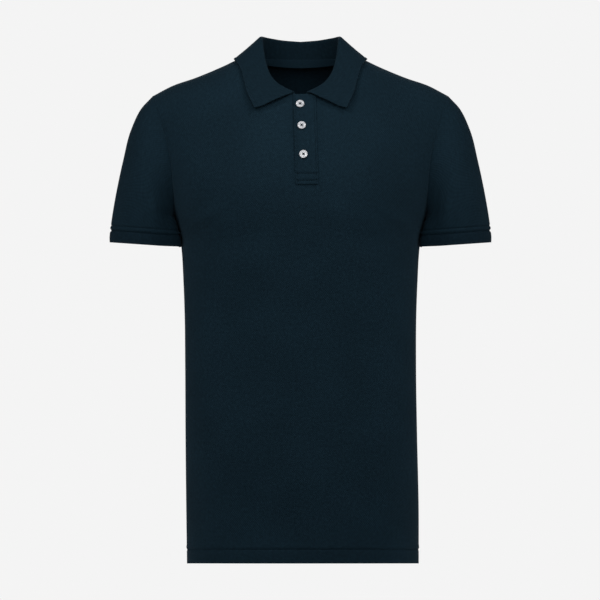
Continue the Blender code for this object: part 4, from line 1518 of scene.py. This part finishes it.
def hole_cutter(seat):
    """Four rods where the thread holes go."""
    bm = bmesh.new()
    for right, up in HOLE_CORNERS:
        made = bmesh.ops.create_cone(
            bm,
            cap_ends=True,
            segments=BUTTON_HOLE_SIDES,
            radius1=BUTTON_HOLE_RADIUS,
            radius2=BUTTON_HOLE_RADIUS,
            depth=3 * BUTTON_THICKNESS,
        )
        bmesh.ops.translate(bm, vec=Vector((right, up, 0)) * BUTTON_HOLE_PITCH / 2, verts=made["verts"])
    bmesh.ops.transform(bm, matrix=seat, verts=bm.verts[:])
    bmesh.ops.scale(bm, vec=(MM, MM, MM), verts=bm.verts[:])
    mesh = bpy.data.meshes.new("holes")
    bm.to_mesh(mesh)
    bm.free()
    return bpy.data.objects.new("holes", mesh)


def make_button(number, seat):
    bm = spun_button()
    bmesh.ops.transform(bm, matrix=seat, verts=bm.verts[:])
    name, node = f"pearl_button_{number}", f"button_{number}"
    button = finish_piece(name, bm, pearl, node, rounding=0)
    cutter = hole_cutter(seat)
    bpy.context.scene.collection.objects.link(cutter)
    holes = button.modifiers.new("thread holes", "BOOLEAN")
    holes.object = cutter
    holes.solver = "EXACT"
    graph = bpy.context.evaluated_depsgraph_get()
    cut = bpy.data.meshes.new_from_object(button.evaluated_get(graph))
    button.modifiers.clear()
    button.data = cut
    cut.set_sharp_from_angle(angle=SHARP_FROM)
    bpy.data.objects.remove(cutter)
    return button


seats = [button_seat(x, height) for x, height in BUTTONS]
for number, seat in enumerate(seats, start=1):
    make_button(number, seat)

# %% [markdown]
# ## Sewing thread
#
# Stitches are short lengths of thread that dive into the cloth at both ends. One stitch is a slim
# rounded grain, and a seam is a row of them along a line on the shirt's own surface. They are joined
# into one mesh a seam, with few faces each, because there are over five hundred.

# %% Thread
STITCH_LENGTH = 2.6
STITCH_GAP = 0.5
THREAD = 0.42
GRAIN_SIDES = 6
GRAIN_RINGS = 4


# Painted shade: the thread is coloured deeper than the cloth to stand in for the shade that the stitches
# lie in.
THREAD_NAVY = (0.0024, 0.0072, 0.0112)  # deeper than the cloth, as it lies in its own shade


def make_thread():
    material, shader = new_finish("navy sewing thread", roughness=0.8, sheen=0.03)
    ply = noise(material, object_place(material), 0.5)
    colour = ramp(material, ply, (0.35, THREAD_NAVY), (0.65, NAVY_DEEP))
    join(material, shader.inputs["Base Color"], colour)
    raise_surface(material, shader, ply, depth=0.08)
    return material


navy_thread = make_thread()


def add_grain(bm, start, end, outward, thickness=THREAD):
    """One stitch between two places, half sunk in what it lies on."""
    along = (end - start).normalized()
    across = outward.cross(along).normalized()
    up = along.cross(across)
    turn = Matrix((along, across, up)).transposed().to_4x4()
    turn.translation = (start + end) / 2
    size = Matrix.Diagonal(((end - start).length / 2, thickness, thickness, 1))
    bmesh.ops.create_uvsphere(
        bm, u_segments=GRAIN_SIDES, v_segments=GRAIN_RINGS, radius=1, matrix=turn @ size
    )


def sew(bm, line):
    """A row of stitches along a line of (place, outward direction), which may be close together."""
    travelled = 0.0
    start = line[0][0]
    for (place, outward), (after, _) in zip(line, line[1:]):
        travelled += (after - place).length
        if travelled >= STITCH_LENGTH + STITCH_GAP:
            stitch = (after - start) * STITCH_LENGTH / (STITCH_LENGTH + STITCH_GAP)
            add_grain(bm, start, start + stitch, outward)
            start = after
            travelled = 0.0


def finish_thread(name, bm):
    bmesh.ops.recalc_face_normals(bm, faces=bm.faces[:])
    return finish_piece(name, bm, navy_thread, None, rounding=0)


def sewn(name, *lines):
    """One piece of all the stitches along some lines."""
    bm = bmesh.new()
    for line in lines:
        sew(bm, line)
    return finish_thread(name, bm)


# %% Sew the hem
LINE_STEPS = 900


def hem_line(side):
    line = []
    for step in range(LINE_STEPS + 1):
        across = -1 + 2 * step / LINE_STEPS
        up = up_of(HEM_LINE)
        line.append((shirt_point(side, across, up), body_normal(side, across, up)))
    return line


for side in (FRONT, BACK):
    name = SIDE_NAME[side]
    sewn(f"hem_stitching_{name}", hem_line(side))

# %% Sew the sleeves' seam allowances
CUFF_LINE_START = 0.03  # just beside the seam under the arm
CUFF_LINE_SHARE = 0.94


def along_above_cuff(around, distance):
    """The place along the sleeve at a distance above the cuff's seam."""
    end = sleeve_point(around, CUFF_TOP)

    def is_short(along):
        return (sleeve_point(around, along) - end).length > distance

    return last_short(0.4, CUFF_TOP, is_short, within=1e-4)


def cuff_line(wearer_side):
    line = []
    for step in range(LINE_STEPS + 1):
        around = CUFF_LINE_START + CUFF_LINE_SHARE * step / LINE_STEPS
        along = along_above_cuff(around, CUFF_STITCH_ABOVE)
        outward = mirrored(sleeve_normal(around, along), wearer_side)
        line.append((shirt_sleeve_point(around, along, wearer_side), outward))
    return line


for wearer_side in (LEFT, RIGHT):
    name = WEARER_SIDE[wearer_side]
    sewn(f"sleeve_stitching_{name}", cuff_line(wearer_side))

# %% Sew the placket
BAND_LINE_STEPS = 300
BAND_STITCH_SHARE = BAND_STITCH_IN / PLACKET_WIDTH


def band_place(height, share):
    return off_front(straight_across(height, share, 0), BAND_SURFACE - 0.5 * STITCH_SINK)


edge_shares = (BAND_STITCH_SHARE, 1 - BAND_STITCH_SHARE)
heights = np.linspace(PLACKET_BOTTOM + BAND_STITCH_IN, PLACKET_TOP - 1, BAND_LINE_STEPS)
shares = np.linspace(*edge_shares, BAND_LINE_STEPS)
edges = [[band_place(height, share) for height in heights] for share in edge_shares]
box = [[band_place(height, share) for share in shares] for height in BOX_LINES]
sewn("placket_stitching", *edges, *box)

# %% Sew on the buttons
SHANK_RISE = 0.25  # the thread's height over the dish
BAR_THREAD = 1.0  # several turns of thread, over the dish
HOLE_THREAD = 0.9  # and down each hole
bm = bmesh.new()
for seat in seats:
    turn = seat.to_3x3()
    top = Vector((0, 0, BUTTON_THICKNESS - BUTTON_DISH + SHANK_RISE))
    bottom = Vector((0, 0, -BUTTON_GAP))
    corners = [Vector((right, up, 0)) * BUTTON_HOLE_PITCH / 2 for right, up in HOLE_CORNERS]
    for first, second in ((0, 2), (1, 3)):
        start, end = seat @ (corners[first] + top), seat @ (corners[second] + top)
        add_grain(bm, start, end, turn @ Vector((0, 0, 1)), BAR_THREAD)
    for corner in corners:
        start, end = seat @ (corner + bottom), seat @ (corner + top)
        add_grain(bm, start, end, turn @ Vector((1, 0, 0)), HOLE_THREAD)
finish_thread("button_thread", bm)

# %% [markdown]
# ## What the cloth was cut from
#
# The sizes are estimates from the shirt's own girths and lengths, brought near to the modelled
# areas, and they leave out the seam allowances that nobody sees.

CUTS = {  # piece: width and length of the flat piece in metres, and its area in square metres
    "front": (0.500, 0.745, 0.3180),
    "back": (0.490, 0.750, 0.3240),
    "left_sleeve": (0.440, 0.205, 0.0400),
    "right_sleeve": (0.440, 0.205, 0.0400),
    "left_cuff": (0.330, 0.018, 0.0056),
    "right_cuff": (0.330, 0.018, 0.0056),
    "upper_band": (0.032, 0.135, 0.0043),
    "under_band": (0.026, 0.125, 0.0032),
    "knit_collar": (0.430, 0.092, 0.0365),
    "twill_tape": (0.190, 0.010, 0.0015),
}
for name, (width, length, area) in CUTS.items():
    piece = bpy.data.objects[name]
    surface = sum(polygon.area for polygon in piece.data.polygons) / 2
    print(f"{name}: modelled {surface:.4f} square metres, cut {area:.4f}")

# %% [markdown]
# ## The studio
#
# A dark garment on a pale ground is lit by soft lights, so that its form shows with no hard shadow:
# one high on each side in front, a weaker one low at each side, a faint one straight in front, and one
# behind for whoever turns the shirt round. The surroundings look pale to the camera but give almost no
# light, because light from everywhere would flatten the folds. The camera has no perspective, which is
# what a long lens far away comes to.

# %% Floor and surroundings
FLOOR_HEIGHT = -0.80
FLOOR_SIZE = 30
FLOOR_GREY = (0.80, 0.84)
bpy.ops.mesh.primitive_plane_add(size=FLOOR_SIZE, location=(0, 0, FLOOR_HEIGHT))
floor = bpy.context.object
floor.name = "floor"
paint = bpy.data.materials.new("pale floor")
paint.use_nodes = True
floor_shader = paint.node_tree.nodes["Principled BSDF"]
floor_shader.inputs["Roughness"].default_value = 0.9
speckle = noise(paint, object_place(paint), 40.0)
pale = ramp(paint, speckle, (0.3, grey(FLOOR_GREY[0])), (0.7, grey(FLOOR_GREY[1])))
join(paint, floor_shader.inputs["Base Color"], pale)
floor.data.materials.append(paint)

PALE = (0.905, 0.905, 0.905, 1)
SEEN = 1.0  # the strength of the surroundings to the camera
SURROUNDINGS = 0.03  # and as light on the shirt
world = bpy.data.worlds.new("studio")
world.use_nodes = True
bpy.context.scene.world = world
sky = world.node_tree.nodes["Background"]
sky.inputs["Color"].default_value = PALE
path = world.node_tree.nodes.new("ShaderNodeLightPath")
strength = world.node_tree.nodes.new("ShaderNodeMix")
strength.inputs[2].default_value = SURROUNDINGS  # a Mix node's two numbers are its inputs 2 and 3
strength.inputs[3].default_value = SEEN
world.node_tree.links.new(path.outputs["Is Camera Ray"], strength.inputs[0])
world.node_tree.links.new(strength.outputs[0], sky.inputs["Strength"])

# %% Lights
LIGHT_COLUMNS = ("name", "x", "y", "z", "wide", "tall", "watts")
LIGHTS = (
    ("high left", -1.1, -0.9, 1.5, 0.7, 0.5, 13.0),
    ("high right", 1.1, -0.9, 1.5, 0.7, 0.5, 13.0),
    ("left side", -1.6, -0.6, -0.6, 0.5, 0.9, 6.5),
    ("right side", 1.6, -0.6, -0.6, 0.5, 0.9, 6.5),
    ("in front", 0.0, -0.7, 0.2, 0.6, 0.4, 2.3),
    ("behind", 0.0, 1.6, 0.2, 1.4, 0.9, 15.0),
)
AIM = Vector((0, 0, -0.25))
for row in LIGHTS:
    size = dict(zip(LIGHT_COLUMNS, row))
    lamp = bpy.data.lights.new(size["name"], "AREA")
    lamp.shape = "RECTANGLE"
    lamp.size = size["wide"]
    lamp.size_y = size["tall"]
    lamp.energy = size["watts"]
    light = bpy.data.objects.new(size["name"], lamp)
    light.location = (size["x"], size["y"], size["z"])
    light.rotation_euler = (AIM - light.location).to_track_quat("-Z", "Y").to_euler()
    bpy.context.scene.collection.objects.link(light)
bpy.context.scene.view_settings.view_transform = "Standard"

# %% Camera
VIEW_WIDTH = 0.8604
VIEW_MIDDLE = (-0.0007, -0.3442)  # across and up
CAMERA_DISTANCE = 3.0
lens = bpy.data.cameras.new("camera")
lens.type = "ORTHO"
lens.ortho_scale = VIEW_WIDTH
lens.clip_end = 30
camera = bpy.data.objects.new("camera", lens)
camera.location = (VIEW_MIDDLE[0], -CAMERA_DISTANCE, VIEW_MIDDLE[1])
camera.rotation_euler = (math.radians(90), 0, 0)
bpy.context.scene.collection.objects.link(camera)
bpy.context.scene.camera = camera
